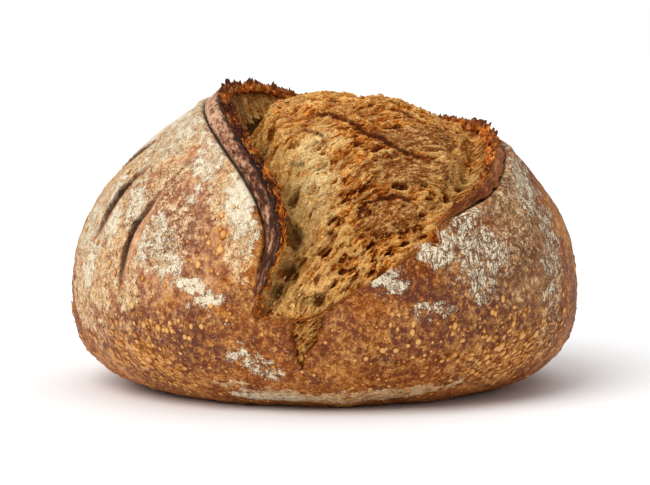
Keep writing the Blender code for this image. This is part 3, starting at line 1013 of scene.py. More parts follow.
def make_shreds(material, draw):
    """Torn shreds of crumb that stand off the dome along its stretch."""
    u, v = crumb_map(draw.random(SHRED_TRIES), draw.random(SHRED_TRIES))
    made, normals, into, marks, _ = crumb_places(u, v)
    wanted = 0.50 - 0.45 * marks["island"] - 0.35 * marks["deep"] - 2 * marks["crack_shade"]
    kept = (into > 0.0035) & (draw.random(SHRED_TRIES) < wanted)
    u, v, made, normals = u[kept], v[kept], made[kept], normals[kept]
    marks = {key: values[kept] for key, values in marks.items()}
    count = len(u)
    way = flow_way(u, v, normals) * np.where(draw.random(count) < 0.5, -1, 1)[:, None]
    way = way + 0.9 * (draw.random((count, 3)) - 0.5)
    lift = 0.05 + 0.50 * draw.random(count) ** 2
    way = way - normals * np.sum(way * normals, axis=1, keepdims=True)
    way /= np.linalg.norm(way, axis=1, keepdims=True)
    side = np.cross(normals, way)
    lengths = 0.0010 + 0.0022 * draw.random(count) ** 2
    widths = 0.0005 + 0.0011 * draw.random(count) ** 2
    ways = way + normals * lift[:, None]
    ways /= np.linalg.norm(ways, axis=1, keepdims=True)
    curls = -normals * (0.8 * lift * draw.random(count))[:, None] + 0.20 * (draw.random((count, 3)) - 0.5)
    roots = made - normals * 0.0004
    lot = 0.30 + 0.50 * draw.random(count) + 0.30 * marks["glow"]
    char = 0.9 * (draw.random(count) < 0.06)
    marks = {"pale": marks["pale"], "island": marks["island"], "lot": lot, "char": char}
    return make_slivers("crumb_shreds", roots, ways, side, lengths, widths, curls, marks, material)


def make_rim(material):
    """The burnt, torn rim of the lip and of the ear: jagged ribbons side by side."""
    rows, line, normals, inwards, _ = mouth_edge(RIM_STEPS)
    lip, band, burnt = rows[:, LIP_COLUMN], rows[:, BAND_COLUMN], rows[:, BURNT_COLUMN]
    teeth = np.clip(rows[:, TEETH_COLUMN], 0, 1)
    thin = 1 - smooth_step(0.002, 0.005, band)
    count = len(rows)
    points, chars, tips, lots = [], [], [], []
    for layer in range(RIM_LAYERS):
        share = layer / (RIM_LAYERS - 1)
        seed = 70 + 5 * layer
        spikes = 0.55 * crests(line, 0.0036, seed) + 0.55 * crests(line, 0.0017, seed + 1)
        spiky = np.clip(spikes + 0.25, 0, 1.2)
        clumps = roughness(line, (1.0, 0.012, CLUMP_SEED), (0.4, 0.006, seed + 2))
        clump = smooth_step(-0.30, 0.50, clumps + 0.5 * thin)
        rise = teeth * (0.0004 + 0.0030 * spiky * (0.25 + 0.75 * clump)) * (1.15 - 0.5 * share)
        shift = -0.0008 + (0.0008 + 0.0026 * teeth) * share + 0.0014 * grain(line, 0.0030, seed + 3)
        lean = (0.35 + 0.3 * share) * (1 - 0.5 * thin) + 0.8 * grain(line, 0.0024, seed + 4)
        depth = 0.0012 + 0.0024 * share + 0.0022 * share * grain(line, 0.0055, seed + 40)
        foot = line + normals * (lip - depth)[:, None]
        foot = foot + inwards * (LIP_LEAN * lip + shift)[:, None]
        top = foot + normals * (rise + 0.0012)[:, None] + inwards * (lean * rise)[:, None]
        low, high = 0.0004 + 0.22 * rise, 0.00010 + 0.06 * rise
        middle = (foot + top) / 2 + inwards * (0.3 * lean * rise)[:, None]
        levels = ((foot, low), (middle, low * 0.7), (top, high))
        ring = [place - inwards * half[:, None] for place, half in levels]
        ring += [place + inwards * half[:, None] for place, half in reversed(levels)]
        points.append(np.stack(ring, axis=1))
        chars.append(np.repeat(burnt * (0.20 + 0.80 * clump) * (1 - 0.4 * share), RIM_SIDES))
        tips.append(np.tile((0.0, 0.5, 1.0, 1.0, 0.5, 0.0), count))
        lots.append(np.repeat(np.clip(0.52 + 0.95 * grain(line, 0.0030, seed + 41), 0, 1), RIM_SIDES))
    starts = np.arange(RIM_LAYERS)[:, None, None] * count * RIM_SIDES
    faces = (starts + tube_faces(count, RIM_SIDES)).reshape(-1, 4)
    tips = np.concatenate(tips)
    marks = {"char": np.concatenate(chars), "tip": tips, "lot": np.concatenate(lots)}
    marks = {**marks, "pale": 0 * tips, "island": 0 * tips}
    return mesh_piece("torn_rim", np.concatenate(points).reshape(-1, 3), faces.tolist(), material, marks)


def make_rim_crumbs(material, draw):
    """Burnt crumbs and short teeth caught on the torn rim."""
    rows, line, normals, inwards, along = mouth_edge(RIM_STEPS)
    teeth = np.clip(rows[:, TEETH_COLUMN], 0, 1) * smooth_step(-0.4, 0.5, grain(line, 0.012, CLUMP_SEED))
    chosen = draw.choice(len(rows), CRUMB_COUNT, p=teeth / teeth.sum())
    rows, line, normals, inwards, along = (part[chosen] for part in (rows, line, normals, inwards, along))
    lip, burnt, teeth = rows[:, LIP_COLUMN], rows[:, BURNT_COLUMN], teeth[chosen]
    inward = -0.0010 + 0.0044 * draw.random(CRUMB_COUNT) ** 1.4
    depth = -0.0004 + 0.35 * np.maximum(inward, 0) + 0.0010 * draw.random(CRUMB_COUNT)
    roots = line + normals * (lip - depth)[:, None] + inwards * (LIP_LEAN * lip + inward)[:, None]
    roots = roots + along * (0.001 * (draw.random(CRUMB_COUNT) - 0.5))[:, None]
    ways = normals * 0.6 + inwards * 0.4 + 1.8 * (draw.random((CRUMB_COUNT, 3)) - 0.5)
    ways /= np.linalg.norm(ways, axis=1, keepdims=True)
    side = np.cross(ways, inwards + 0.9 * (draw.random((CRUMB_COUNT, 3)) - 0.5))
    side /= np.linalg.norm(side, axis=1, keepdims=True)
    lengths = (0.0006 + 0.0024 * draw.random(CRUMB_COUNT) ** 2.4) * (0.6 + 0.4 * teeth)
    widths = 0.0006 + 0.0018 * draw.random(CRUMB_COUNT) ** 2
    curls = 0.9 * (draw.random((CRUMB_COUNT, 3)) - 0.5)
    char = burnt * (0.35 + 0.65 * draw.random(CRUMB_COUNT)) * (1 - smooth_step(0.0015, 0.0045, inward) * 0.6)
    marks = {"pale": 0 * lip, "island": 0 * lip, "lot": 0.6 * draw.random(CRUMB_COUNT), "char": char}
    return make_slivers("rim_crumbs", roots, ways, side, lengths, widths, curls, marks, material, 0.7)


def make_blisters(material, draw):
    """Small domes blown up in the crust, thickest low on the flanks."""
    polar = np.sqrt(draw.random(BLISTER_TRIES)) * 1.75
    turn = draw.random(BLISTER_TRIES) * 2 * math.pi
    u, v = polar * np.cos(turn), polar * np.sin(turn)
    made, normals, into, marks = crust_places(u, v)
    wanted = np.where(made[:, 2] > 0.065, 0.04, 0.16)
    for place, half_width, half_height, lean, amount in BLISTER_SWARMS:
        spot = on_patch(made, place, half_width, half_height, lean)
        wanted = np.maximum(wanted, amount * smooth_step(-0.4, 0.6, spot))
    wanted = wanted * (1 - 0.85 * marks["flour"]) * (1 - marks["crevice_shade"]) * (1 - 0.6 * marks["cloudy"])
    wanted = wanted * smooth_step(0.25, 0.7, np.hypot(u, v))
    on_crust = (into < -0.006) & (made[:, 2] > 0.003) & (marks["torn"] < 0.1)
    kept = on_crust & (draw.random(BLISTER_TRIES) < wanted)
    made, normals, wanted = made[kept], normals[kept], wanted[kept]
    count = len(made)
    radius = 0.00045 + 0.0008 * draw.random(count) ** 2.2 + 0.0015 * wanted * draw.random(count) ** 4
    right = np.cross((0, 0, 1.0), normals) + 0.3 * (draw.random((count, 3)) - 0.5)
    right = right - normals * np.sum(right * normals, axis=1, keepdims=True)
    right /= np.linalg.norm(right, axis=1, keepdims=True)
    up = np.cross(normals, right)
    long_share = 1 + 0.7 * draw.random(count) ** 2
    rise = 0.22 + 0.20 * draw.random(count)
    sides = BLISTER_SIDES
    angle = np.arange(sides) / sides * 2 * math.pi
    rings = []
    caps = []
    for reach, height, lit_top in BLISTER_RINGS:
        wobble = 1 + 0.12 * (draw.random((count, sides)) - 0.5)
        across = radius[:, None] * reach * np.cos(angle) * wobble
        along = (radius * long_share)[:, None] * reach * np.sin(angle) * wobble
        level = (radius * rise * height)[:, None] * np.ones(sides)
        ring = right[:, None] * across[..., None] + up[:, None] * along[..., None]
        rings.append(ring + normals[:, None] * level[..., None])
        caps += [lit_top] * sides
    top = (normals * (radius * rise)[:, None])[:, None]
    points = made[:, None] + np.concatenate(rings + [top], axis=1)
    faces = []
    for first in range(0, sides * (len(BLISTER_RINGS) - 1), sides):
        for k in range(sides):
            near, following = first + k, first + (k + 1) % sides
            faces.append((near, following, following + sides, near + sides))
    last = sides * (len(BLISTER_RINGS) - 1)
    peak = last + sides
    ends = [(last + k, last + (k + 1) % sides, peak) for k in range(sides)]
    base = [tuple(reversed(range(sides)))]
    start = np.arange(count)[:, None, None] * (peak + 1)
    whole = (start + np.array(faces)).reshape(-1, 4).tolist()
    whole += (start + np.array(ends)).reshape(-1, 3).tolist()
    whole += (start + np.array(base)).reshape(-1, sides).tolist()
    marks = {"lit_top": np.tile(caps + [1.0], count), "lot": np.repeat(draw.random(count), peak + 1)}
    return mesh_piece("crust_blisters", points.reshape(-1, 3), whole, material, marks)


# ---------------------------------------------------------------- colours


def shade(red, green, blue):
    """A colour given in everyday 0 to 255 values, as the light values that shaders take."""
    made = []
    for value in (red, green, blue):
        share = value / 255
        made.append(share / 12.92 if share <= 0.04045 else ((share + 0.055) / 1.055) ** 2.4)
    return (*made, 1.0)


DARK_CHESTNUT = shade(104, 46, 8)
CHESTNUT = shade(136, 70, 18)
RUST = shade(164, 94, 34)
AMBER = shade(200, 134, 66)
BLISTER_TAN = shade(228, 176, 108)
PINK_TAN = shade(216, 156, 112)
PLUM = shade(102, 54, 40)
# near black, for char and for painted shade in the crust's crevices
SOOT_AND_SHADE = shade(34, 13, 6)
FLOUR_WHITE = shade(246, 232, 202)
FLOUR_SHADE_GREY = shade(216, 190, 150)
BLOOM_DARK = shade(178, 122, 78)
BLOOM_TAN = shade(224, 184, 134)
BLOOM_PALE = shade(246, 224, 182)
BLUSH_DARK = shade(146, 92, 66)
BLUSH_BROWN = shade(180, 122, 88)
BLUSH_TAN = shade(210, 156, 116)
BLUSH_PALE = shade(240, 200, 156)
DUN_DARK = shade(96, 62, 34)
DUN_BROWN = shade(138, 98, 60)
DUN_TAN = shade(182, 142, 98)
CRACK_BROWN = shade(112, 66, 34)
MAROON = shade(74, 28, 14)
SHADE_OLIVE = shade(126, 92, 42)
PALE_CREAM = shade(255, 224, 160)
CREAM = shade(252, 196, 116)
STRAW = shade(240, 162, 74)
GOLD = shade(248, 168, 64)
PALE_GOLD = shade(254, 208, 122)
HONEY = shade(210, 118, 32)
TOFFEE = shade(158, 74, 10)
DARK_TOFFEE = shade(98, 40, 4)
SHADE_OLIVE_BROWN = shade(84, 54, 14)
LIP_DARK = shade(66, 34, 22)
LIP_BROWN = shade(120, 74, 50)
LIP_DUST = shade(188, 142, 110)
LIP_PALE = shade(222, 182, 148)


class Finish:
    """One material, built up from procedural nodes."""

    def __init__(self, name, roughness, gloss=0.12):
        self.material = bpy.data.materials.new(name)
        self.material.use_nodes = True
        self.nodes = self.material.node_tree.nodes
        self.links = self.material.node_tree.links
        self.shader = self.nodes["Principled BSDF"]
        self.shader.inputs["Roughness"].default_value = roughness
        self.shader.inputs["Specular IOR Level"].default_value = gloss
        self.place = self.nodes.new("ShaderNodeTexCoord").outputs["Object"]

    def give(self, socket, value):
        if isinstance(value, bpy.types.NodeSocket):
            self.links.new(value, socket)
        else:
            socket.default_value = value

    def mark(self, name, output="Fac"):
        node = self.nodes.new("ShaderNodeAttribute")
        node.attribute_name = name
        return node.outputs[output]

    def stretched(self, scale, place=None):
        node = self.nodes.new("ShaderNodeMapping")
        node.inputs["Scale"].default_value = scale
        self.links.new(place or self.place, node.inputs["Vector"])
        return node.outputs["Vector"]

    def wobbled(self, size, amount, place):
        """The place pushed about by noise whose lumps have the given size."""
        noise_node = self.nodes.new("ShaderNodeTexNoise")
        noise_node.inputs["Scale"].default_value = 1 / size
        self.links.new(place, noise_node.inputs["Vector"])
        node = self.nodes.new("ShaderNodeVectorMath")
        node.operation = "MULTIPLY_ADD"
        self.links.new(noise_node.outputs["Color"], node.inputs[0])
        node.inputs[1].default_value = (amount, amount, amount)
        self.links.new(place, node.inputs[2])
        return node.outputs[0]

    def speckle(self, size, detail=2.0, roughness=0.5, place=None):
        """Noise from 0 to 1 whose lumps have the given size in metres."""
        node = self.nodes.new("ShaderNodeTexNoise")
        node.inputs["Scale"].default_value = 1 / size
        node.inputs["Detail"].default_value = detail
        node.inputs["Roughness"].default_value = roughness
        self.links.new(place or self.place, node.inputs["Vector"])
        return node.outputs["Fac"]

    def cells(self, size, feature="F1", place=None, output="Distance"):
        node = self.nodes.new("ShaderNodeTexVoronoi")
        node.feature = feature
        node.inputs["Scale"].default_value = 1 / size
        self.links.new(place or self.place, node.inputs["Vector"])
        return node.outputs[output]

    def maths(self, operation, first, second=0.0):
        node = self.nodes.new("ShaderNodeMath")
        node.operation = operation
        self.give(node.inputs[0], first)
        self.give(node.inputs[1], second)
        return node.outputs[0]

    def plus(self, *values):
        total = values[0]
        for value in values[1:]:
            total = self.maths("ADD", total, value)
        return total

    def times(self, *values):
        total = values[0]
        for value in values[1:]:
            total = self.maths("MULTIPLY", total, value)
        return total

    def rest(self, value):
        """What is left of 1."""
        return self.plus(1.0, self.times(value, -1.0))

    def veins(self, size, detail, roughness, place, level=0.5):
        """How far noise is from a level: 0 along thin wandering lines."""
        return self.maths("ABSOLUTE", self.plus(self.speckle(size, detail, roughness, place=place), -level))

    def over(self, value, low, high, start=0.0, end=1.0):
        """Softly from start to end as value goes from low to high."""
        node = self.nodes.new("ShaderNodeMapRange")
        node.interpolation_type = "SMOOTHSTEP"
        node.inputs["From Min"].default_value = low
        node.inputs["From Max"].default_value = high
        node.inputs["To Min"].default_value = start
        node.inputs["To Max"].default_value = end
        self.give(node.inputs["Value"], value)
        return node.outputs["Result"]

    def blend(self, share, first, second):
        node = self.nodes.new("ShaderNodeMix")
        node.data_type = "RGBA"
        factor, _, _, _, _, _, first_colour, second_colour = node.inputs[:8]
        self.give(factor, share)
        self.give(first_colour, first)
        self.give(second_colour, second)
        return node.outputs[2]

    def ramp(self, share, *stops):
        node = self.nodes.new("ShaderNodeValToRGB")
        elements = node.color_ramp.elements
        while len(elements) < len(stops):
            elements.new(0.5)
        for element, (position, colour) in zip(elements, stops):
            element.position = position
            element.color = colour
        self.give(node.inputs["Fac"], share)
        return node.outputs["Color"]

    def finish(self, colour, relief, depth, roughness=None):
        self.give(self.shader.inputs["Base Color"], colour)
        if roughness is not None:
            self.give(self.shader.inputs["Roughness"], roughness)
        node = self.nodes.new("ShaderNodeBump")
        node.inputs["Strength"].default_value = 1.0
        node.inputs["Distance"].default_value = depth
        self.links.new(relief, node.inputs["Height"])
        self.links.new(node.outputs["Normal"], self.shader.inputs["Normal"])
        return self.material


def crust_finish():
    """Baked crust: golden brown with darker clouds, tan pimples, bare strips, flour and the cracks in it,
    with painted shade in the crevices and near the floor.
    """
    f = Finish("baked_crust", 0.60)
    clouds = f.speckle(0.022, 3)
    mottle = f.speckle(0.0032, 4, 0.68)
    specks = f.speckle(0.0010, 3, 0.70)
    tone = f.plus(f.times(clouds, 0.56), f.times(mottle, 0.68), f.times(specks, 0.42), -0.205)
    tones = (0.49, DARK_CHESTNUT), (0.58, CHESTNUT), (0.65, RUST), (0.74, AMBER), (0.86, BLISTER_TAN)
    colour = f.ramp(tone, *tones)
    blushing = (0.47, BLUSH_DARK), (0.58, BLUSH_BROWN), (0.67, BLUSH_TAN), (0.80, BLUSH_PALE)
    colour = f.blend(f.times(f.mark("blush"), 0.85), colour, f.ramp(tone, *blushing))
    duns = (0.50, DUN_DARK), (0.60, DUN_BROWN), (0.70, DUN_TAN), (0.80, BLOOM_PALE)
    colour = f.blend(f.times(f.mark("dun"), 0.80), colour, f.ramp(tone, *duns))
    purple = f.over(f.speckle(0.016, 2, place=f.stretched((1.0, 1.0, 1.7))), 0.55, 0.66)
    purple = f.maths("MAXIMUM", f.times(purple, 0.7), f.mark("cloudy"))
    colour = f.blend(f.times(purple, f.over(f.plus(mottle, f.times(specks, 0.5)), 0.96, 0.66)), colour, PLUM)
    chosen = f.over(f.cells(0.0022, output="Color"), 0.40, 0.60)
    pimple = f.times(f.over(f.cells(0.0022), 0.14, 0.42, 1.0, 0.0), chosen)
    risen = f.maths("MAXIMUM", f.times(pimple, 0.55), f.times(f.mark("dome"), 0.70))
    risen = f.maths("MAXIMUM", risen, f.times(f.mark("swarm"), f.over(mottle, 0.46, 0.60), 0.62))
    risen = f.times(risen, f.over(f.mark("cloudy"), 0, 1, 1.0, 0.45))
    colour = f.blend(risen, colour, f.blend(mottle, AMBER, BLISTER_TAN))
    colour = f.blend(f.over(specks, 0.58, 0.70, 0.0, 0.60), colour, PINK_TAN)

    bloom = f.mark("bloom")
    settled = f.over(f.plus(f.times(bloom, 0.75), f.times(mottle, 0.80), f.times(specks, 0.80)), 1.08, 1.36)
    dusty = f.plus(f.times(mottle, 0.6), f.times(specks, 0.4))
    skin = f.ramp(dusty, (0.38, BLOOM_DARK), (0.50, BLOOM_TAN), (0.62, BLOOM_PALE))
    colour = f.blend(f.times(settled, 0.92), colour, skin)
    wrinkle = f.over(f.veins(0.0034, 3, 0.6, f.stretched((1, 1, 0.6))), 0.004, 0.03)
    colour = f.blend(f.times(bloom, f.rest(wrinkle), 0.55), colour, CHESTNUT)
    pepper = f.times(f.over(f.speckle(0.00085, 2, 0.6, place=f.stretched((1, 1, 0.8))), 0.44, 0.37), bloom)
    colour = f.blend(f.times(pepper, 0.75), colour, CRACK_BROWN)
    bared = f.ramp(dusty, (0.38, BLUSH_BROWN), (0.50, BLUSH_TAN), (0.62, BLUSH_PALE))
    colour = f.blend(f.times(f.mark("bare"), 0.85), colour, bared)

    flour = f.mark("flour")
    fine_dust = f.speckle(0.00070, 3, 0.75)
    clumps = f.speckle(0.0036, 4, 0.68)
    lying = f.plus(f.times(flour, 0.60), f.times(fine_dust, 0.95), f.times(clumps, 1.15))
    cover = f.over(lying, 1.36, 1.48)
    tall = f.wobbled(0.0050, 0.0016, f.stretched((1.0, 1.0, 0.42)))
    lines = f.veins(0.0030, 2, 0.5, tall)
    short_lines = f.veins(0.0022, 2, 0.5, tall, 0.46)
    scales = f.plus(f.cells(0.0030, "DISTANCE_TO_EDGE", place=tall), f.times(specks, 0.70), -0.30)
    unbroken = f.times(f.over(lines, 0.010, 0.040), f.over(short_lines, 0.002, 0.020))
    unbroken = f.times(unbroken, f.over(scales, 0.02, 0.10))
    thick = f.times(f.over(flour, 0.30, 0.60), f.over(f.mark("cracked"), 0, 1, 0.30, 1.0))
    cracked = f.times(thick, f.over(lying, 1.25, 1.40), f.rest(unbroken), 0.85)
    colour = f.blend(cracked, colour, CRACK_BROWN)
    cover = f.times(cover, f.plus(1.0, f.times(thick, 0.96, f.plus(unbroken, -1.0))))
    sprinkle = f.plus(fine_dust, f.times(clumps, 0.55), f.times(f.speckle(0.012, 2), 0.30))
    cover = f.maths("MAXIMUM", cover, f.times(f.over(sprinkle, 1.11, 1.16), 0.9))
    # painted shade: the flour is speckled between white and a shaded grey
    colour = f.blend(cover, colour, f.blend(f.over(fine_dust, 0.34, 0.50), FLOUR_SHADE_GREY, FLOUR_WHITE))

    # painted shade: the crevices of the cuts and the lip's crease are coloured near black
    colour = f.blend(f.times(f.mark("crevice_shade"), 0.92), colour, SOOT_AND_SHADE)
    # painted shade: near the floor the crust is tinted towards rust
    colour = f.blend(f.times(f.mark("near_floor_shade"), 0.15), colour, RUST)
    colour = f.blend(f.times(f.mark("burnt"), 0.8), colour, SOOT_AND_SHADE)
    colour = f.blend(f.mark("torn"), colour, f.blend(mottle, TOFFEE, DARK_TOFFEE))

    relief = f.plus(f.times(mottle, 0.75), f.times(specks, 0.50), f.times(pimple, 0.50), f.times(cover, 0.30))
    relief = f.plus(relief, f.times(wrinkle, bloom, 0.35))
    return f.finish(colour, relief, 0.0008, f.over(cover, 0, 1, 0.50, 0.92))


def crumb_finish():
    """Torn crumb: cream where it stretched last, honey and toffee on the dome, crust on the islands; paler
    crests and darker hollows are painted highlight and shade.
    """
    f = Finish("torn_crumb", 0.60, 0.08)
    flow = f.mark("flow", "Vector")
    drawn = f.wobbled(0.0024, 0.0014, f.stretched((0.50, 1.0, 1.0), flow))
    relief = f.mark("relief")
    mottle = f.speckle(0.0030, 4, 0.66, place=drawn)
    fine = f.speckle(0.0010, 3, 0.70, place=drawn)
    clouds = f.speckle(0.014, 2)
    lace = f.over(f.cells(0.0012, "DISTANCE_TO_EDGE", place=drawn), 0.0, 0.20, 1.0, 0.0)
    wide_lace = f.over(f.cells(0.0027, "DISTANCE_TO_EDGE", place=drawn), 0.0, 0.12, 1.0, 0.0)
    pale = f.mark("pale")
    # painted highlight and shade: the tone rises with the crumb's height, its thin walls and its cell edges,
    # over its own mottle
    tone = f.plus(f.times(relief, 0.70), f.times(mottle, 1.06), f.times(fine, 0.50), -0.475)
    tone = f.plus(tone, f.times(clouds, 0.16), f.times(f.mark("glow"), 0.10), f.times(pale, 0.20))
    tone = f.plus(tone, f.times(f.mark("walls"), 0.14), f.times(lace, 0.12), f.times(wide_lace, 0.07))
    colour = f.ramp(tone, (0.56, DARK_TOFFEE), (0.67, TOFFEE), (0.77, HONEY), (0.88, STRAW), (1.0, CREAM))
    creamy = f.ramp(tone, (0.60, TOFFEE), (0.70, HONEY), (0.82, CREAM), (0.96, PALE_CREAM))
    colour = f.blend(f.times(pale, f.over(mottle, 0.40, 0.55, 0.35, 0.80)), colour, creamy)
    golden = f.ramp(tone, (0.54, DARK_TOFFEE), (0.64, HONEY), (0.77, GOLD), (0.92, PALE_GOLD))
    colour = f.blend(f.times(f.mark("deep"), 0.65), colour, golden)
    flecks = f.plus(f.times(mottle, 0.62), f.times(fine, 0.60), f.times(relief, 0.14), -0.04)
    browns = (0.46, PLUM), (0.52, DARK_CHESTNUT), (0.58, CHESTNUT), (0.64, RUST), (0.73, BLISTER_TAN)
    crusty = f.ramp(flecks, *browns)
    island = f.mark("island")
    colour = f.blend(f.times(island, 0.92), colour, crusty)
    outline = f.times(f.over(island, 0.10, 0.35), f.over(island, 0.95, 0.60))
    colour = f.blend(f.times(outline, f.over(mottle, 0.60, 0.45), 0.8), colour, MAROON)
    bubble = f.cells(0.0020, place=drawn)
    chosen = f.over(f.cells(0.0020, place=drawn, output="Color"), 0.42, 0.56)
    bubble_top = f.times(f.over(bubble, 0.16, 0.34, 1.0, 0.0), chosen)
    colour = f.blend(f.times(island, bubble_top, 0.75), colour, BLISTER_TAN)
    open_crumb = f.rest(island)
    russet = f.over(f.speckle(0.0065, 3, 0.6, place=drawn), 0.50, 0.62)
    colour = f.blend(f.times(russet, open_crumb, f.over(pale, 0, 1, 0.55, 0.10)), colour, TOFFEE)
    # painted highlight on the rims of the fine pits, and painted shade in the pits and in the pores
    pit_rim_highlight = f.times(f.over(bubble, 0.14, 0.26), f.over(bubble, 0.26, 0.42, 1.0, 0.0), chosen)
    pinhole = f.times(f.over(bubble, 0.12, 0.26, 1.0, 0.0), chosen)
    colour = f.blend(f.times(pit_rim_highlight, open_crumb, 0.45), colour, STRAW)
    colour = f.blend(f.times(pinhole, open_crumb, 0.75), colour, DARK_TOFFEE)
    colour = f.blend(f.times(f.mark("pores"), 0.60), colour, DARK_TOFFEE)
    # painted shade: the valley's chambers are dimmed towards olive brown
    hollow = f.mark("hollow")
    dimness = f.plus(f.times(hollow, 0.7), f.times(mottle, 0.6))
    painted_hollow_shade = f.ramp(dimness, (0.45, GOLD), (0.72, SHADE_OLIVE), (1.0, SHADE_OLIVE_BROWN))
    colour = f.blend(f.times(hollow, 0.75), colour, painted_hollow_shade)
    # painted shade: a dark red-brown line along each shelf's step
    colour = f.blend(f.mark("crack_shade"), colour, f.blend(mottle, MAROON, DARK_CHESTNUT))
    colour = f.blend(f.times(f.mark("burnt"), 0.95), colour, f.blend(mottle, SOOT_AND_SHADE, DARK_TOFFEE))
    height = f.plus(f.times(mottle, 0.8), f.times(fine, 0.7), f.times(lace, 0.45), f.times(wide_lace, 0.35))
    height = f.plus(height, f.times(pinhole, open_crumb, -0.8), f.times(bubble_top, island, 0.5))
    return f.finish(colour, height, 0.0010)


def lip_finish():
    """The lip's band: plum brown under a bloom of flour, charred on its inner side."""
    f = Finish("lip_band", 0.6)
    sweep = f.stretched((0.42, 1.0, 1.0), f.mark("sweep", "Vector"))
    mottle = f.speckle(0.0036, 4, 0.70, place=sweep)
    fine = f.speckle(0.0011, 3, 0.72, place=sweep)
    low, right = f.mark("low"), f.mark("right")
    tone = f.plus(f.times(mottle, 0.85), f.times(fine, 0.55), f.times(low, -0.15), -0.025)
    colour = f.ramp(tone, (0.46, LIP_DARK), (0.56, LIP_BROWN), (0.66, LIP_DUST), (0.76, LIP_PALE))
    rusty = f.ramp(tone, (0.50, DARK_CHESTNUT), (0.62, CHESTNUT), (0.74, RUST), (0.84, AMBER))
    colour = f.blend(f.times(right, 0.85), colour, rusty)
    char = f.plus(f.mark("inner"), mottle, f.times(low, 0.10), f.times(right, -0.25))
    colour = f.blend(f.times(f.over(char, 1.14, 1.30), f.mark("burnt")), colour, SOOT_AND_SHADE)
    crispness = f.plus(f.times(mottle, 0.5), f.times(fine, 0.5))
    crisp = f.ramp(crispness, (0.42, DARK_CHESTNUT), (0.52, RUST), (0.68, AMBER))
    colour = f.blend(f.mark("thin"), colour, crisp)
    return f.finish(colour, f.plus(mottle, f.times(fine, 0.7)), 0.0012)


def shred_finish():
    """Shreds and the torn rim: crumb colours, charred where they are burnt."""
    f = Finish("crumb_shreds", 0.55)
    mottle = f.speckle(0.0014, 3, 0.65)
    tone = f.plus(f.times(f.mark("lot"), 0.50), f.times(mottle, 0.55), f.times(f.mark("pale"), 0.16))
    colour = f.ramp(tone, (0.25, DARK_TOFFEE), (0.42, TOFFEE), (0.60, HONEY), (0.80, STRAW), (1.0, CREAM))
    colour = f.blend(f.times(f.mark("island"), 0.85), colour, f.blend(mottle, DARK_CHESTNUT, RUST))
    scorch = f.over(f.mark("char"), 0.05, 0.5, 0.0, 0.80)
    colour = f.blend(f.times(scorch, f.over(mottle, 0.68, 0.44)), colour, f.blend(mottle, MAROON, RUST))
    char = f.over(f.plus(f.mark("char"), f.times(f.mark("tip"), 0.35), f.times(mottle, 0.8)), 0.85, 1.35)
    char = f.times(char, f.over(f.mark("char"), 0.0, 0.2))
    colour = f.blend(char, colour, f.blend(f.over(mottle, 0.40, 0.65), SOOT_AND_SHADE, DARK_TOFFEE))
    return f.finish(colour, mottle, 0.0004)


def blister_finish():
    """Blisters: tan on top as painted highlight, rusty towards the foot as painted shade, with a tone of
    their own.
    """
    f = Finish("crust_blisters", 0.50)
    mottle = f.speckle(0.0016, 3, 0.65)
    # painted highlight and shade: paler towards the top, rustier towards the foot
    tone = f.plus(f.times(f.mark("lit_top"), 0.50), f.times(f.mark("lot"), 0.42), f.times(mottle, 0.40), 0.08)
    colour = f.ramp(tone, (0.30, CHESTNUT), (0.52, RUST), (0.76, AMBER), (1.0, BLISTER_TAN))
    return f.finish(colour, mottle, 0.0004)


# ---------------------------------------------------------------- floor, light and camera


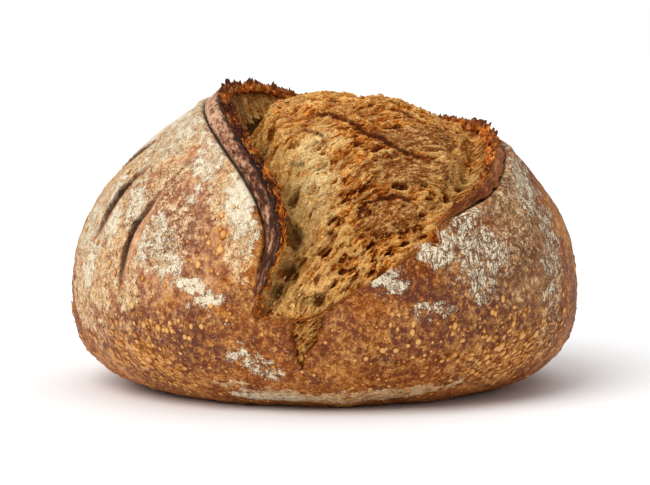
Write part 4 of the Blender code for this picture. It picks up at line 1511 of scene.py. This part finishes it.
def set_stage():
    """A pale floor, soft light from above and the left, and the camera low in front."""
    clear_selection()
    bpy.ops.mesh.primitive_circle_add(vertices=96, radius=FLOOR_RADIUS, fill_type="NGON")
    floor = bpy.context.object
    floor.name = "pale_floor"
    floor.location.z = -FLOOR_DROP
    paint = bpy.data.materials.new("pale_floor")
    paint.use_nodes = True
    paint.node_tree.nodes["Principled BSDF"].inputs["Base Color"].default_value = (0.95, 0.95, 0.95, 1)
    paint.node_tree.nodes["Principled BSDF"].inputs["Roughness"].default_value = 1.0
    floor.data.materials.append(paint)

    world = bpy.data.worlds.new("soft_white")
    world.use_nodes = True
    nodes, links = world.node_tree.nodes, world.node_tree.links
    backdrop = nodes["Background"]
    backdrop.inputs["Color"].default_value = (1, 1, 1, 1)
    backdrop.inputs["Strength"].default_value = 1.0
    room = nodes.new("ShaderNodeBackground")
    room.inputs["Color"].default_value = (1, 1, 1, 1)
    room.inputs["Strength"].default_value = ROOM_LIGHT
    choice = nodes.new("ShaderNodeMixShader")
    links.new(nodes.new("ShaderNodeLightPath").outputs["Is Camera Ray"], choice.inputs["Fac"])
    links.new(room.outputs["Background"], choice.inputs[1])
    links.new(backdrop.outputs["Background"], choice.inputs[2])
    links.new(choice.outputs["Shader"], nodes["World Output"].inputs["Surface"])
    bpy.context.scene.world = world

    for name, way, width, strength in LAMPS:
        lamp = bpy.data.lights.new(name, "SUN")
        lamp.angle = math.radians(width)
        lamp.energy = strength
        holder = bpy.data.objects.new(name, lamp)
        bpy.context.scene.collection.objects.link(holder)
        holder.location = way
        holder.rotation_euler = Vector(way).to_track_quat("Z", "Y").to_euler()

    lens = bpy.data.cameras.new("camera")
    lens.sensor_width = SENSOR_WIDTH
    lens.lens = CAMERA_LENS
    camera = bpy.data.objects.new("camera", lens)
    bpy.context.scene.collection.objects.link(camera)
    towards_camera = Vector((0, -math.cos(CAMERA_TILT), math.sin(CAMERA_TILT)))
    camera.location = CAMERA_AIM + towards_camera * CAMERA_DISTANCE
    camera.rotation_euler = (CAMERA_AIM - camera.location).to_track_quat("-Z", "Y").to_euler()
    bpy.context.scene.camera = camera
    bpy.context.scene.view_settings.view_transform = "Standard"


# ---------------------------------------------------------------- the loaf


def main():
    set_stage()
    draw = np.random.default_rng(7)
    crust = crust_finish()
    crumb = crumb_finish()
    shred = shred_finish()
    pieces = [
        make_crust(crust),
        make_crumb(crumb),
        make_lip(lip_finish()),
        make_rim(shred),
        make_rim_crumbs(shred, draw),
        make_shreds(shred, draw),
        make_blisters(blister_finish(), draw),
    ]
    for piece in pieces:
        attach(piece, "root")
        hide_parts("loaf")


main()
